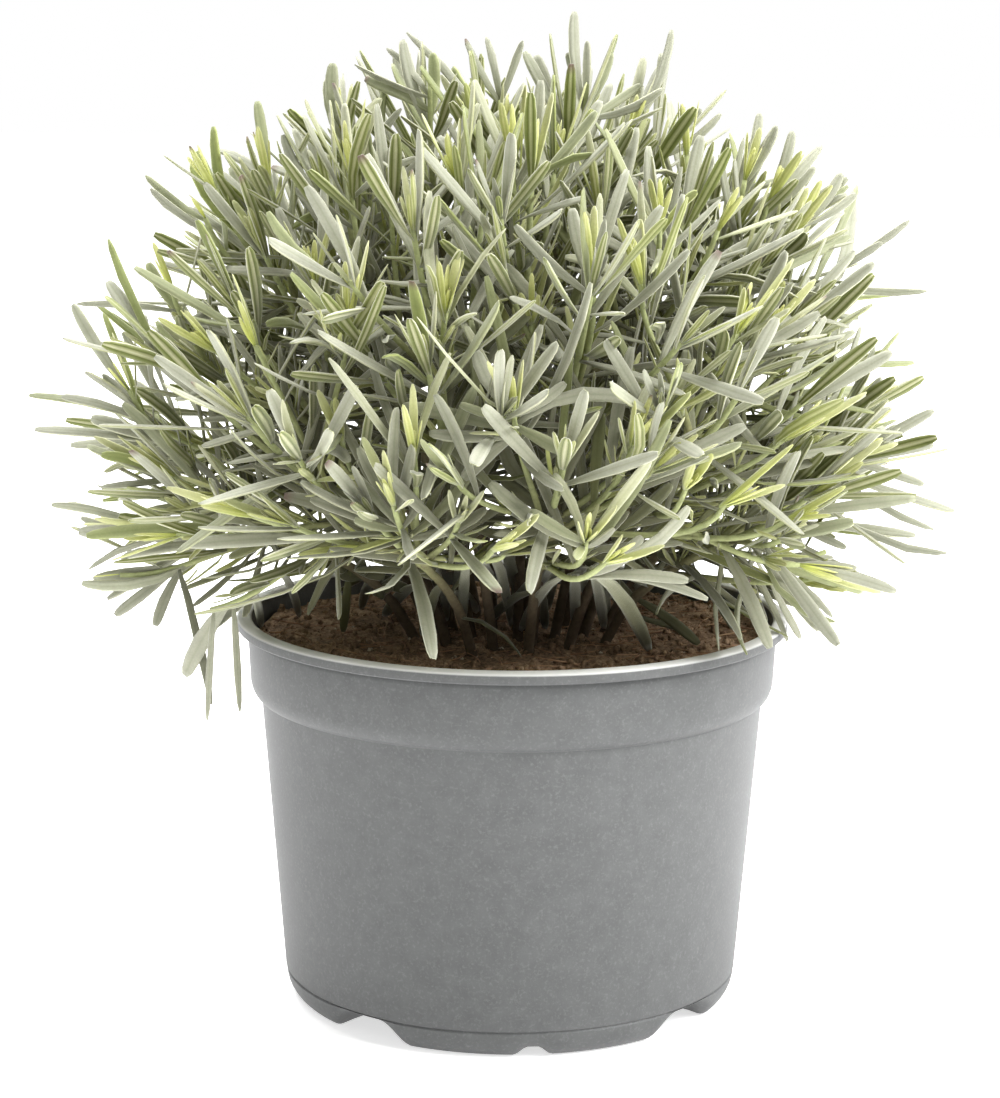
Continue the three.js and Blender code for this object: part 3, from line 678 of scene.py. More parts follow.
def leaf_points(leaf, share):
    share = np.asarray(share, dtype=float).reshape(-1, 1)
    return leaf["root"] + leaf["along"] * share + leaf["bend"] * share ** 2 + leaf["hook"] * share ** 3


def leaf_directions(leaf, share):
    ahead = leaf["along"] + 2 * leaf["bend"] * share[:, None] + 3 * leaf["hook"] * share[:, None] ** 2
    return ahead / np.linalg.norm(ahead, axis=1)[:, None]


class Rods:
    """The round rods that stand for wood and leaves while the source's own leaves find their places."""

    def __init__(self, most):
        self.start = np.zeros((most, 3))
        self.end = np.zeros((most, 3))
        self.radius = np.zeros(most)
        self.stem = np.zeros(most, dtype=int)
        self.root = np.zeros(most, dtype=bool)
        self.count = 0

    def add(self, points, radius, stem, first_is_root=False):
        for number, (start, end) in enumerate(zip(points, points[1:])):
            self.start[self.count], self.end[self.count] = start, end
            self.radius[self.count], self.stem[self.count] = radius, stem
            self.root[self.count] = first_is_root and number == 0
            self.count += 1

    def too_near(self, start, end, radius, stem):
        """Which placed rods are nearer to a new one than they may be."""
        c, d = self.start[:self.count], self.end[:self.count]
        u, v, w = end - start, d - c, start - c
        uu, uv, vv = u @ u, v @ u, np.einsum("ij,ij->i", v, v)
        uw, vw = w @ u, np.einsum("ij,ij->i", v, w)
        spanned = uu * vv - uv * uv
        open_angle = spanned > NEARLY_PARALLEL
        s = np.where(open_angle, np.clip((uv * vw - vv * uw) / np.where(open_angle, spanned, 1), 0, 1), 0)
        t = np.clip((uv * s + vw) / vv, 0, 1)
        s = np.clip((uv * t - uw) / uu, 0, 1)
        apart = np.linalg.norm(w + np.outer(s, u) - v * t[:, None], axis=1)
        gap = np.where(self.stem[:self.count] == stem, 0, LEAF_GAP_MM)
        return apart <= radius + self.radius[:self.count] + gap


def clear_of_pot(points, radius):
    """True where round points of this radius stay above the growing medium and off the pot's lip."""
    reach = np.hypot(points[:, 0], points[:, 1])
    within = reach + radius < COLLAR_TOP_RADIUS / MM - 2 * WALL / MM
    floor = np.where(within, SOIL_HEIGHT_MM + SOIL_ROUGHNESS_MM, POT_HEIGHT / MM) + 2 * CLEARANCE_MM
    beyond = reach - radius > LIP_RADIUS / MM + 2 * CLEARANCE_MM
    return np.where(beyond, points[:, 2] > radius, points[:, 2] - radius > floor)


def rods_clear_of_pot(points, radius):
    shares = np.linspace(0, 1, ROD_STEPS).reshape(-1, 1)
    return all(clear_of_pot(start + (end - start) * shares, radius).all()
               for start, end in zip(points, points[1:]))


def find_side_shoots(stem, rods):
    """The stem's two side shoots of the source, at the first turn where each has room."""
    shoots = []
    widest = SIDE_SHOOT_TURN_ABOVE + (SIDE_SHOOT_TURN_BELOW - SIDE_SHOOT_TURN_ABOVE) * stem["share"]
    first_turn = stem["draw"](-widest, widest)
    for order, start_share in enumerate(SIDE_SHOOT_STARTS):
        reach = SIDE_SHOOT_REACH_MM * stem["draw"](*SIDE_SHOOT_SIZES)
        for swing in SIDE_SHOOT_SWINGS:
            shoot = side_shoot_course(stem, start_share, first_turn + order * math.pi + swing, reach)
            points = shoot["points"]
            others = rods.stem[:rods.count] != stem["index"]
            crowded = any((rods.too_near(start, end, SIDE_SHOOT_ROOM_MM, stem["index"]) & others).any()
                          for start, end in zip(points, points[1:]))
            if not crowded and rods_clear_of_pot(points, SIDE_SHOOT_ROOM_MM):
                shoots.append(shoot)
                rods.add(points, SIDE_SHOOT_RADIUS_MM, stem["index"])
                break
    return shoots


def leaf_fits(leaf, stem, rods):
    """True where a leaf clears other stems all along, and its own stem past its root."""
    points = leaf_points(leaf, LEAF_ROD_ENDS)
    own = rods.stem[:rods.count] == stem["index"]
    for number, (start, end) in enumerate(zip(points, points[1:])):
        excused = own & (rods.root[:rods.count] | (number == 0))
        if (rods.too_near(start, end, LEAF_WIDTH_MM / 2, stem["index"]) & ~excused).any():
            return False
    return rods_clear_of_pot(points, LEAF_WIDTH_MM / 2)


def find_leaf(stem, shoot, pair, face_turn, rods):
    below, pitch, length, sag = pair
    for shortening in LEAF_SHORTENINGS:
        for pitch_change in LEAF_PITCHES:
            for swing in LEAF_SWINGS:
                leaf = leaf_course(shoot, below, face_turn, math.radians(swing),
                                   math.radians(pitch + pitch_change), length * shortening, sag)
                if leaf_fits(leaf, stem, rods):
                    rods.add(leaf_points(leaf, LEAF_ROD_ENDS), LEAF_WIDTH_MM / 2, stem["index"], True)
                    return leaf
    return None


def source_leaves(stem, shoot, pairs, rods):
    """The leaves that the source gives this shoot, in the same places."""
    for order, (below, pitch, length, sag) in enumerate(pairs):
        for side in range(2):
            face_turn = shoot["twist"] + math.pi / 4 + order * math.pi / 2 + side * math.pi
            grown = (below, pitch + stem["draw"](*PITCH_CHANGES), length * stem["draw"](*LEAF_SIZES), sag)
            leaf = find_leaf(stem, shoot, grown, face_turn, rods)
            if leaf:
                yield leaf


stems = [stem_course(index) for index in range(STEM_COUNT)]
rods = Rods(MOST_RODS)
for stem in stems:
    rods.add(stem["points"], STEM_RADIUS_BELOW_MM, stem["index"])
for stem in stems:
    stem["side_shoots"] = find_side_shoots(stem, rods)
for stem in stems:
    stem["leaves"] = list(source_leaves(stem, stem, STEM_PAIRS, rods))
    for shoot in stem["side_shoots"]:
        stem["leaves"] += source_leaves(stem, shoot, SIDE_SHOOT_PAIRS, rods)


# How the plant shows in the photograph, which was taken from a metre before the pot, looking down by 10.8
# degrees. Pixels are counted from the photograph's top left corner.
PHOTO_SIZE = (1000, 1098)
CAMERA_PLACE_MM = np.array([0.0, -1000.0, 347.0])
CAMERA_PITCH = math.radians(10.8)
CAMERA_YAW = math.radians(0.25)
CAMERA_ROLL = math.radians(0.35)
CAMERA_LENS = 96.8
CAMERA_FILM = 36
PIXEL = CAMERA_FILM / PHOTO_SIZE[1] / CAMERA_LENS


def camera_axes():
    """The camera's directions to the right, up and ahead."""
    ahead = np.array([-math.sin(CAMERA_YAW) * math.cos(CAMERA_PITCH),
                      math.cos(CAMERA_YAW) * math.cos(CAMERA_PITCH), -math.sin(CAMERA_PITCH)])
    level = np.array([math.cos(CAMERA_YAW), math.sin(CAMERA_YAW), 0])
    upright = np.cross(level, ahead)
    right = level * math.cos(CAMERA_ROLL) + upright * math.sin(CAMERA_ROLL)
    up = upright * math.cos(CAMERA_ROLL) - level * math.sin(CAMERA_ROLL)
    return right, up, ahead


def line_of_sight(x, y):
    """The direction from the camera through a pixel of the photograph."""
    right, up, ahead = camera_axes()
    return unit(ahead + right * (x - PHOTO_SIZE[0] / 2) * PIXEL + up * (PHOTO_SIZE[1] / 2 - y) * PIXEL)


def seen_at(points):
    """Where points are in the photograph, and how far from the camera."""
    right, up, ahead = camera_axes()
    away = points - CAMERA_PLACE_MM
    depth = away @ ahead
    x = PHOTO_SIZE[0] / 2 + away @ right / depth / PIXEL
    y = PHOTO_SIZE[1] / 2 - away @ up / depth / PIXEL
    return x, y, depth


# Places where the white ground shows between the leaves, each with its radius, all in pixels.
OPEN_PLACES = np.array((
    (905, 355, 24), (880, 332, 14), (858, 385, 7), (922, 408, 20), (942, 395, 22), (905, 503, 9),
    (888, 493, 7), (880, 562, 18), (915, 572, 20), (838, 508, 6), (862, 498, 9), (865, 525, 7),
    (885, 618, 22), (852, 642, 24), (848, 602, 9), (766, 388, 8), (786, 385, 6), (815, 386, 8),
    (800, 405, 4), (784, 352, 5), (744, 540, 6), (940, 500, 9), (962, 470, 22), (960, 590, 30),
    (895, 272, 8), (915, 255, 12), (910, 325, 10), (930, 340, 20), (95, 350, 16), (72, 366, 22),
    (58, 335, 24), (138, 268, 9), (133, 238, 12), (168, 230, 10), (150, 220, 10), (90, 268, 16),
    (84, 245, 20), (122, 205, 16), (186, 262, 6), (196, 430, 8), (62, 415, 6), (70, 470, 18),
    (52, 488, 16), (112, 476, 6), (60, 555, 18), (90, 552, 8), (68, 612, 24), (98, 608, 9),
    (135, 628, 12), (102, 638, 20), (166, 652, 14), (140, 606, 5), (176, 604, 8), (225, 628, 5),
    (200, 612, 6), (60, 380, 8), (300, 80, 14), (240, 105, 12), (286, 96, 8), (378, 62, 8), (420, 62, 5),
    (452, 58, 9), (456, 42, 12), (506, 46, 6), (552, 62, 6), (553, 42, 10), (602, 34, 12), (628, 62, 10),
    (645, 42, 8), (690, 88, 12), (686, 68, 16), (740, 108, 8), (776, 104, 8), (810, 130, 10),
    (834, 152, 7), (852, 165, 8), (872, 205, 9), (230, 90, 16), (180, 125, 18), (195, 130, 12),
    (310, 55, 16), (560, 25, 8), (595, 15, 12), (715, 85, 14), (135, 290, 8), (128, 255, 9),
    (145, 300, 5), (170, 245, 8), (140, 212, 16), (120, 225, 12), (162, 214, 7), (185, 185, 6),
    (120, 312, 5), (90, 318, 4), (75, 380, 13), (95, 384, 9), (48, 372, 16), (112, 396, 5), (86, 364, 12),
    (116, 402, 5), (45, 413, 6), (80, 416, 4), (60, 450, 9), (85, 454, 7), (38, 460, 20), (92, 474, 8),
    (82, 490, 7), (34, 485, 16), (76, 497, 4), (110, 499, 3), (66, 521, 5), (46, 530, 18), (58, 546, 10),
    (76, 561, 9), (66, 576, 8), (100, 548, 5), (84, 600, 6), (108, 628, 10), (150, 616, 5), (182, 630, 9),
    (150, 642, 14), (170, 616, 6), (226, 660, 9), (224, 690, 10), (190, 700, 10), (160, 690, 20),
    (222, 642, 5), (205, 622, 5), (190, 415, 4), (201, 405, 3), (248, 280, 4), (226, 308, 4),
    (215, 240, 3), (870, 495, 16), (868, 530, 17), (905, 535, 27), (938, 520, 26), (862, 550, 9),
    (930, 565, 22), (850, 606, 12), (870, 616, 18), (850, 640, 18), (828, 601, 5), (880, 362, 15),
    (862, 373, 4), (885, 320, 17), (875, 215, 11), (896, 200, 17), (900, 246, 9), (906, 263, 11),
    (883, 268, 4), (890, 301, 6), (866, 331, 5), (838, 160, 5), (826, 170, 4), (806, 141, 4),
    (851, 213, 3), (920, 430, 13), (936, 465, 5), (946, 476, 12), (900, 475, 3), (846, 496, 4),
    (836, 530, 6), (824, 541, 3), (841, 560, 5), (757, 382, 6), (755, 410, 4), (740, 420, 4),
    (746, 550, 6), (709, 569, 7), (671, 568, 3), (657, 530, 3), (692, 418, 4), (653, 561, 3),
    (830, 392, 4),
))


def in_open_place(points):
    """Which points would show in a place where the photograph's white ground shows through."""
    x, y, _ = seen_at(points)
    off_x = x[:, None] - OPEN_PLACES[:, 0]
    off_y = y[:, None] - OPEN_PLACES[:, 1]
    return (np.hypot(off_x, off_y) < OPEN_PLACES[:, 2]).any(axis=1)


# Leaves that show in the photograph stay in sight: this grid holds how far from the camera the nearest of
# them is in each small square of the photograph.
SIGHT_CELL = 4
SIGHT_CLEAR_MM = 2
SIGHT_STEPS = 30
UNSEEN_MM = 9999

shown_depth = np.full((PHOTO_SIZE[0] // SIGHT_CELL + 1, PHOTO_SIZE[1] // SIGHT_CELL + 1), float(UNSEEN_MM))


def in_sight_cells(points):
    """The cell of the photograph that each point shows in, and how far it is from the camera."""
    x, y, depth = seen_at(points)
    columns = np.clip(x // SIGHT_CELL, 0, PHOTO_SIZE[0] // SIGHT_CELL).astype(int)
    rows = np.clip(y // SIGHT_CELL, 0, PHOTO_SIZE[1] // SIGHT_CELL).astype(int)
    return columns, rows, depth


def hides_shown_leaf(points):
    """Which points would hide a leaf that shows in the photograph."""
    columns, rows, depth = in_sight_cells(points)
    shown = shown_depth[columns, rows]
    return (shown < UNSEEN_MM) & (depth < shown - SIGHT_CLEAR_MM)


# More shoots and leaves, at the plant's true number. Each looks for the place and turn with the most room.
ROOM_CELL_MM = 1.7
ROOM_LOW_MM = np.array([-185.0, -185.0, 80.0])
ROOM_CELLS = (218, 218, 160)
POT_PENALTY = 6
HIDING_PENALTY = 0.6
FRONT_SKIRT_MM = 141
FRONT_SKIRT_REACH_MM = 62
FRONT_SKIRT_LIP_MM = 92
FRONT_SKIRT_SLOPE = 0.6
FRONT_SKIRT_SPLAY = 0.8
SKIRT_HEM_MM = 122
SKIRT_SLOPE = 0.55
SKIRT_START_MM = 97
FOLIAGE_RADIUS_MM = 156
FOLIAGE_RISE_MM = 163
UNEVEN_HEIGHT_MM = 6
UNEVEN_WAVE_MM = 17
HEM_UNEVEN_MM = 6
HEM_WAVES_MM = (6.5, 3.1)
DROOP_ALLOWED = 0.1
LOW_DROOP_ALLOWED = 0.5
LOW_LEAVES_MM = 178
DROOP_PENALTY = 9
LEAF_CROWDING = 3
LEAF_CLEAR_MM = 0.8
TRIES = 9
TRIED_STEPS = 9
TAKEN_STEPS = 26
YOUNG_STEPS = 14
WOOD_POINTS = 60
BARE_ROOT_SHARE = 0.16
MARGIN_SHARE = 0.7

FILLING_SHOOT_TRIES = 8
FILLING_SHOOT_ROOM_MM = 3
FILLING_SHOOT_STARTS = (0.30, 0.62)
FILLING_SHOOT_REACHES_MM = (20, 42)
FILLING_SHOOT_DROPS = (0.5, 1.5)
FILLING_SHOOT_LIFT_MM = 14

# Distance below the tip, pitch, length and width of the young tuft's pairs of leaves, and the same with the
# sag of the pairs below them.
YOUNG_PAIRS = ((0.2, 5, 10, 1.7), (0.9, 10, 15, 2.3), (2.0, 15, 22, 3.1))
FILLING_PAIRS = (
    (4, 20, 30, 4.2, 0.04), (8.5, 30, 37, 4.7, 0.07), (14, 42, 41, 5, 0.12), (21, 52, 42, 5, 0.2),
    (29, 60, 41, 4.8, 0.26), (38, 66, 38, 4.5, 0.3), (48, 70, 36, 4.2, 0.34), (59, 74, 33, 4, 0.38),
    (71, 78, 30, 3.8, 0.4), (84, 80, 26, 3.6, 0.4),
)
YOUNG_LOSS = 0.22
GREENEST_PAIR = 0.2
GREEN_LOSS = 0.1
FULL_LENGTH_TRIES = 5
SHORT_TRY = 0.8
WIDEST_LEAF_PITCH = 84
BARE_FOOT_MM = 4
UPRIGHT_OPENING = 0.6
LEANING_OPENING = 0.5
FACING_OPENING = 1.0
AXIL_STARTS_MM = (12, 62)
AXIL_SHARE = 0.34
AXIL_LEAVES = ((10, 11, 1.9), (20, 15, 2.4), (34, 18, 2.8))
AXIL_SIZES = (0.75, 1.25)
AXIL_ABOVE_MM = 1.5
AXIL_TURN = 0.25
AXIL_TURN_MORE = 0.2
AXIL_PITCH = 30
AXIL_PITCH_SHARE = 0.8
AXIL_SAG = 0.05
AXIL_TRIES = 3
AXIL_CROWDING = 4
AXIL_YOUTH = 0.35

# How much leaves of one kind differ: the spread of their swing and sway, and the ranges of the rest.
SWING_SPREAD = 0.32
SWAY_SPREAD = 0.27
PITCH_MORE = 6
PITCH_SPREAD = 10
GROWN_LENGTHS = (0.85, 1.15)
GROWN_SAGS = (0.2, 1.7)
GROWN_CURLS = (-1.0, 4.8)
TURNS_UP = (-0.2, 0.5)
HOOKS = (-0.85, 0.2)
GROWN_WIDTHS = (0.6, 0.96)
TWIST_SPREAD = 0.5
BROWN_TIP_SHARE = 0.035
YOUNG_SWING_SPREAD = 0.2
YOUNG_SWAY_SPREAD = 0.05
YOUNG_PITCH_SPREAD = 3
YOUNG_CURLS = (-0.05, 0.35)
SOURCE_WIDTHS = (0.84, 1.04)
TUFT_YOUTHS = (0.0, 0.15, 0.4, 0.8)
GROWTH_SEED = 77


def room_cells(points):
    cells = ((points - ROOM_LOW_MM) / ROOM_CELL_MM).astype(int)
    cells = np.clip(cells, 0, np.array(ROOM_CELLS) - 1)
    return cells[..., 0], cells[..., 1], cells[..., 2]


def wood_points(shoot):
    """Points close together along a shoot's wood."""
    return arch(*shoot["ends"], np.linspace(0, 1, WOOD_POINTS))


def blade_samples(leaf, steps):
    """Points over a blade past its root: its middle line and both margins."""
    share = np.linspace(BARE_ROOT_SHARE, 1, steps)
    middle = leaf_points(leaf, share)
    aside = leaf["across"] * leaf["width"] / 2 * MARGIN_SHARE
    return np.concatenate([middle, middle + aside, middle - aside])


def take_room(leaf, room):
    """Marks the cells that a leaf lies in as taken."""
    room[room_cells(blade_samples(leaf, TAKEN_STEPS))] = True


def keep_in_sight(leaf):
    """Keeps later leaves from growing before this one."""
    columns, rows, depth = in_sight_cells(blade_samples(leaf, SIGHT_STEPS))
    np.minimum.at(shown_depth, (columns, rows), depth)


def hanging_low(points):
    """Which points hang below the foliage's hem, which rises outwards, and lies higher before the pot."""
    hem = SKIRT_HEM_MM + SKIRT_SLOPE * (np.hypot(points[:, 0], points[:, 1]) - SKIRT_START_MM)
    ahead = -points[:, 1]
    front_hem = FRONT_SKIRT_MM + FRONT_SKIRT_SLOPE * np.maximum(0, ahead - FRONT_SKIRT_LIP_MM)
    long_wave, short_wave = HEM_WAVES_MM
    uneven = np.sin(points[:, 0] / long_wave) + np.sin(points[:, 0] / short_wave + 1) / 2
    front_hem += HEM_UNEVEN_MM * uneven
    in_front = ahead > np.maximum(FRONT_SKIRT_REACH_MM, abs(points[:, 0]) * FRONT_SKIRT_SPLAY)
    return (points[:, 2] < hem) & (hem > SKIRT_HEM_MM) | in_front & (points[:, 2] < front_hem)


def outside_dome(points):
    """Which points stand out of the uneven dome that the leaves' tips make together."""
    from_centre = (points - DOME_CENTRE_MM) * (1, 1, FOLIAGE_RADIUS_MM / FOLIAGE_RISE_MM)
    x, y, z = (from_centre / UNEVEN_WAVE_MM).T
    uneven = UNEVEN_HEIGHT_MM * (np.sin(x + 1.3) * np.cos(z) + np.sin(y + 2 * z))
    return np.linalg.norm(from_centre, axis=1) > FOLIAGE_RADIUS_MM + uneven


def refused(points):
    """Which points of a blade lie where none may be."""
    return hanging_low(points) | outside_dome(points) | in_open_place(points)


def crowding(points, room):
    """How much of a blade would lie in taken cells, in the pot or growing medium, or where none may be."""
    barred = ~clear_of_pot(points, LEAF_CLEAR_MM) | refused(points)
    return (room[room_cells(points)].sum() + POT_PENALTY * barred.sum()
            + HIDING_PENALTY * hides_shown_leaf(points).sum())


def droop(leaf):
    """How far a leaf's tip hangs below its root, past what is allowed, as a share of its length."""
    way = leaf["along"] + leaf["bend"] + leaf["hook"]
    allowed = LOW_DROOP_ALLOWED if leaf["root"][2] < LOW_LEAVES_MM else DROOP_ALLOWED
    return max(0.0, -way[2] / math.sqrt(way @ way) - allowed)


def roomiest(candidates, room, limit):
    """The candidate leaf with the most room, or none if even that is too crowded."""
    scores = [crowding(blade_samples(leaf, TRIED_STEPS), room) + DROOP_PENALTY * droop(leaf)
              for leaf in candidates]
    best = int(np.argmin(scores))
    if scores[best] > limit:
        return None
    take_room(candidates[best], room)
    return candidates[best]


def grown_leaf(draw, shoot, below, face_turn, pitch, length, width, sag, youth):
    """One draw of a leaf's own bend, swing and size."""
    leaf = leaf_course(
        shoot, below, face_turn, draw.gauss(0, SWING_SPREAD),
        math.radians(pitch + PITCH_MORE + draw.gauss(0, PITCH_SPREAD)),
        length * draw.uniform(*GROWN_LENGTHS), sag * draw.uniform(*GROWN_SAGS),
        LEAF_CURL * draw.uniform(*GROWN_CURLS), draw.gauss(0, SWAY_SPREAD))
    turned_up = leaf["bend"] + UP * length * draw.uniform(*TURNS_UP)
    leaf.update(bend=turned_up, hook=turned_up * draw.uniform(*HOOKS),
                width=width * draw.uniform(*GROWN_WIDTHS), youth=youth)
    return leaf


def finish_leaf(draw, leaf):
    """Gives a leaf that has its place the twist and the tones that its drawing needs."""
    leaf["twist"] = draw.gauss(0, TWIST_SPREAD)
    leaf["tone"] = draw.random()
    leaf["browning"] = 1.0 if draw.random() < BROWN_TIP_SHARE else 0.0
    return leaf


def shoot_length(shoot):
    return float(np.linalg.norm(np.diff(shoot["points"], axis=0), axis=1).sum())


def filling_shoots(draw, stem):
    """A shoot that stops short of the dome and fills it between the tips that the source has, if one fits."""
    for _ in range(FILLING_SHOOT_TRIES):
        shoot = side_shoot_course(
            stem, draw.uniform(*FILLING_SHOOT_STARTS), draw.uniform(0, 2 * math.pi),
            draw.uniform(*FILLING_SHOOT_REACHES_MM), draw.uniform(*FILLING_SHOOT_DROPS))
        above_soil = shoot["points"][1:, 2].min() > SOIL_HEIGHT_MM + FILLING_SHOOT_LIFT_MM
        if above_soil and rods_clear_of_pot(shoot["points"], FILLING_SHOOT_ROOM_MM) \
                and not in_open_place(shoot["points"]).any():
            return [shoot]
    return []


def filling_leaves(draw, shoot, room, tip_youth, opening):
    """Everything that grows on one shoot beside the source's own leaves."""
    length = shoot_length(shoot)
    for order, (below, pitch, blade, width) in enumerate(YOUNG_PAIRS):
        for side in range(2):
            face_turn = shoot["twist"] + order * math.pi / 2 + side * math.pi
            leaf = leaf_course(
                shoot, below, face_turn, draw.gauss(0, YOUNG_SWING_SPREAD),
                math.radians(pitch + draw.gauss(0, YOUNG_PITCH_SPREAD)), blade * draw.uniform(*GROWN_LENGTHS),
                0, draw.uniform(*YOUNG_CURLS), draw.gauss(0, YOUNG_SWAY_SPREAD))
            leaf.update(width=width, youth=tip_youth * (1 - YOUNG_LOSS * order))
            samples = blade_samples(leaf, YOUNG_STEPS)
            if not refused(samples).any():
                room[room_cells(samples)] = True
                yield finish_leaf(draw, leaf)
    for order, (below, pitch, blade, width, sag) in enumerate(FILLING_PAIRS):
        if below > length - BARE_FOOT_MM:
            break
        for side in range(2):
            face_turn = shoot["twist"] + order * math.pi / 2 + side * math.pi
            youth = max(0.0, GREENEST_PAIR - order * GREEN_LOSS) * tip_youth
            opened = min(pitch * opening, WIDEST_LEAF_PITCH)
            leaf = roomiest([
                grown_leaf(draw, shoot, below, face_turn, opened,
                           blade * (1 if turn < FULL_LENGTH_TRIES else SHORT_TRY), width, sag, youth)
                for turn in range(TRIES)], room, LEAF_CROWDING)
            if leaf:
                yield finish_leaf(draw, leaf)
            if AXIL_STARTS_MM[0] <= below <= AXIL_STARTS_MM[1] and draw.random() < AXIL_SHARE:
                yield from axil_leaves(draw, shoot, below, face_turn, room)


def axil_leaves(draw, shoot, below, face_turn, room):
    """The few small leaves that stand in the axil of an older leaf, just above it and to both its sides."""
    size = draw.uniform(*AXIL_SIZES)
    for order, (pitch, blade, width) in enumerate(AXIL_LEAVES):
        for side in (-1, 1):
            candidates = [
                grown_leaf(draw, shoot, below - AXIL_ABOVE_MM,
                           face_turn + side * (AXIL_TURN + AXIL_TURN_MORE * order),
                           AXIL_PITCH + side * pitch * AXIL_PITCH_SHARE, blade * size, width,
                           AXIL_SAG, AXIL_YOUTH)
                for _ in range(AXIL_TRIES)]
            leaf = roomiest(candidates, room, AXIL_CROWDING)
            if leaf:
                yield finish_leaf(draw, leaf)


# The tufts that show most in the photograph. Each is where its tip is there, in pixels, how far it leans to
# the right, in degrees, and how much it faces the camera.
SHOWING_TUFTS = (
    (514, 408, 0, 0.8), (393, 503, -10, 0.75), (494, 549, 30, 0.75), (586, 540, 0, 0.75),
    (632, 445, 8, 0.5), (414, 455, -5, 0.4), (606, 562, 40, 0.5), (446, 312, 10, 0.5), (348, 319, 0, 0.4),
    (351, 175, 0, 0.3), (269, 180, -12, 0.3), (172, 290, -12, 0.1), (129, 390, -25, 0.1),
    (176, 535, -80, 0.2), (250, 515, -65, 0.4), (255, 345, -25, 0.35), (215, 350, -40, 0.2),
    (456, 180, -3, 0.3), (513, 160, 0, 0.35), (587, 84, 3, 0.1), (430, 80, 0, 0), (472, 78, -8, -0.1),
    (591, 275, -12, 0.45), (641, 283, 3, 0.45), (660, 226, 0, 0.35), (687, 153, 5, 0.2),
    (718, 230, 15, 0.3), (769, 200, 12, 0.15), (737, 333, 30, 0.35), (765, 333, 32, 0.3),
    (783, 245, 12, 0.2), (800, 225, 25, 0), (784, 439, 42, 0.3), (835, 460, 65, 0.1), (789, 519, 50, 0.2),
    (800, 565, 85, 0.1), (725, 504, 20, 0.35), (686, 488, 15, 0.5), (120, 575, -85, 0.1),
    (210, 610, -100, 0.2), (215, 190, -25, 0.1), (205, 218, -20, 0), (340, 140, -3, 0), (500, 100, -5, 0),
    (630, 130, 10, 0), (745, 180, 8, 0.1), (850, 260, 45, 0), (145, 525, -70, 0),
)
SHOWING_STARTS = (0.35, 0.45, 0.55, 0.65, 0.75)
SHOWING_LENGTH_MM = 62
SHOWING_TURNING_COST_MM = 60
SHOWING_LEAVING = 0.35


def on_dome(sight):
    """Where a line of sight meets the dome of the tips, or comes nearest to it."""
    scale = np.array([1 / DOME_RADIUS_MM, 1 / DOME_RADIUS_MM, 1 / DOME_RISE_MM])
    start, way = (CAMERA_PLACE_MM - DOME_CENTRE_MM) * scale, sight * scale
    along = start @ way
    spare = along * along - way @ way * (start @ start - 1)
    return CAMERA_PLACE_MM + sight * (-along - math.sqrt(max(0.0, spare))) / (way @ way)


def showing_shoot(x, y, lean, facing):
    """A shoot to a tuft of the photograph, from the stem that reaches it in the easiest course."""
    tip = on_dome(line_of_sight(x, y))
    end = unit(np.array([math.sin(math.radians(lean)), -facing, math.cos(math.radians(lean))]))
    choices = []
    for stem in stems:
        for start_share in SHOWING_STARTS:
            root = arch(*stem["ends"], [start_share])[0]
            length = math.dist(root, tip)
            turning = 1 - end @ (tip - root) / length
            cost = abs(length - SHOWING_LENGTH_MM) + SHOWING_TURNING_COST_MM * turning
            choices.append((cost, stem["index"], start_share))
    _, index, start_share = min(choices)
    stem = stems[index]
    root = arch(*stem["ends"], [start_share])[0]
    leaving = unit(direction_at(stem, start_share) + unit(tip - root))
    handle = SHOWING_LEAVING * math.dist(root, tip)
    ends = (root, root + leaving * handle, tip - end * handle, tip)
    radii = (SIDE_SHOOT_RADIUS_MM, SIDE_SHOOT_RADIUS_MM * SIDE_SHOOT_TAPER)
    shoot = shoot_course(ends, np.cross(end, (0, 1, 0)), stem["twist"], radii, SIDE_SHOOT_STEPS)
    shoot["facing"] = facing
    stem["filling_shoots"].append(shoot)
    return stem, shoot


# Old leaves that hang from low shoots: the pixel near the shoot that each grows from, the pixel of its tip,
# how far the tip is before the pot's axis (none where it hangs over the growing medium), and its width.
HANGING_LEAVES = (
    ((225, 600), (184, 677), 45, 6.4), ((186, 585), (212, 706), 60, 3.2),
    ((205, 600), (207, 722), 70, 2.6), ((237, 610), (240, 713), 68, 2.8),
    ((255, 605), (262, 628), None, 3.4), ((340, 585), (343, 633), None, 3.6),
    ((408, 590), (384, 617), None, 4.6), ((436, 590), (422, 637), None, 4.4),
    ((455, 590), (478, 613), None, 4.0), ((530, 590), (484, 627), None, 3.8),
    ((560, 580), (548, 612), None, 5.0), ((573, 590), (575, 631), None, 4.2),
    ((600, 595), (650, 652), None, 5.6), ((625, 600), (700, 645), None, 4.2),
    ((690, 590), (742, 640), 88, 3.6), ((520, 575), (505, 590), None, 3.6),
    ((290, 590), (300, 618), None, 3.4), ((716, 565), (771, 650), 80, 5.4),
    ((470, 585), (455, 612), None, 4.0), ((500, 580), (520, 613), None, 4.4),
    ((545, 585), (532, 618), None, 3.8), ((560, 590), (592, 612), None, 4.2),
    ((590, 585), (610, 618), None, 4.0), ((430, 580), (440, 610), None, 4.0),
    ((380, 580), (362, 610), None, 4.0), ((640, 580), (630, 612), None, 4.0),
    ((480, 575), (494, 606), None, 4.4), ((525, 580), (508, 618), None, 3.6),
    ((600, 575), (566, 605), None, 4.0), ((450, 575), (430, 603), None, 4.2),
    ((505, 590), (512, 628), None, 4.0), ((540, 590), (545, 630), None, 4.4),
    ((470, 590), (462, 630), None, 4.0), ((600, 590), (604, 630), None, 4.2),
    ((560, 585), (520, 632), None, 3.8), ((440, 590), (446, 622), None, 3.8),
)
HANGING_CLEAR_MM = 129.6
HANGING_ARCH = 0.3
HANGING_ARCHES = (0.5, 1.3)
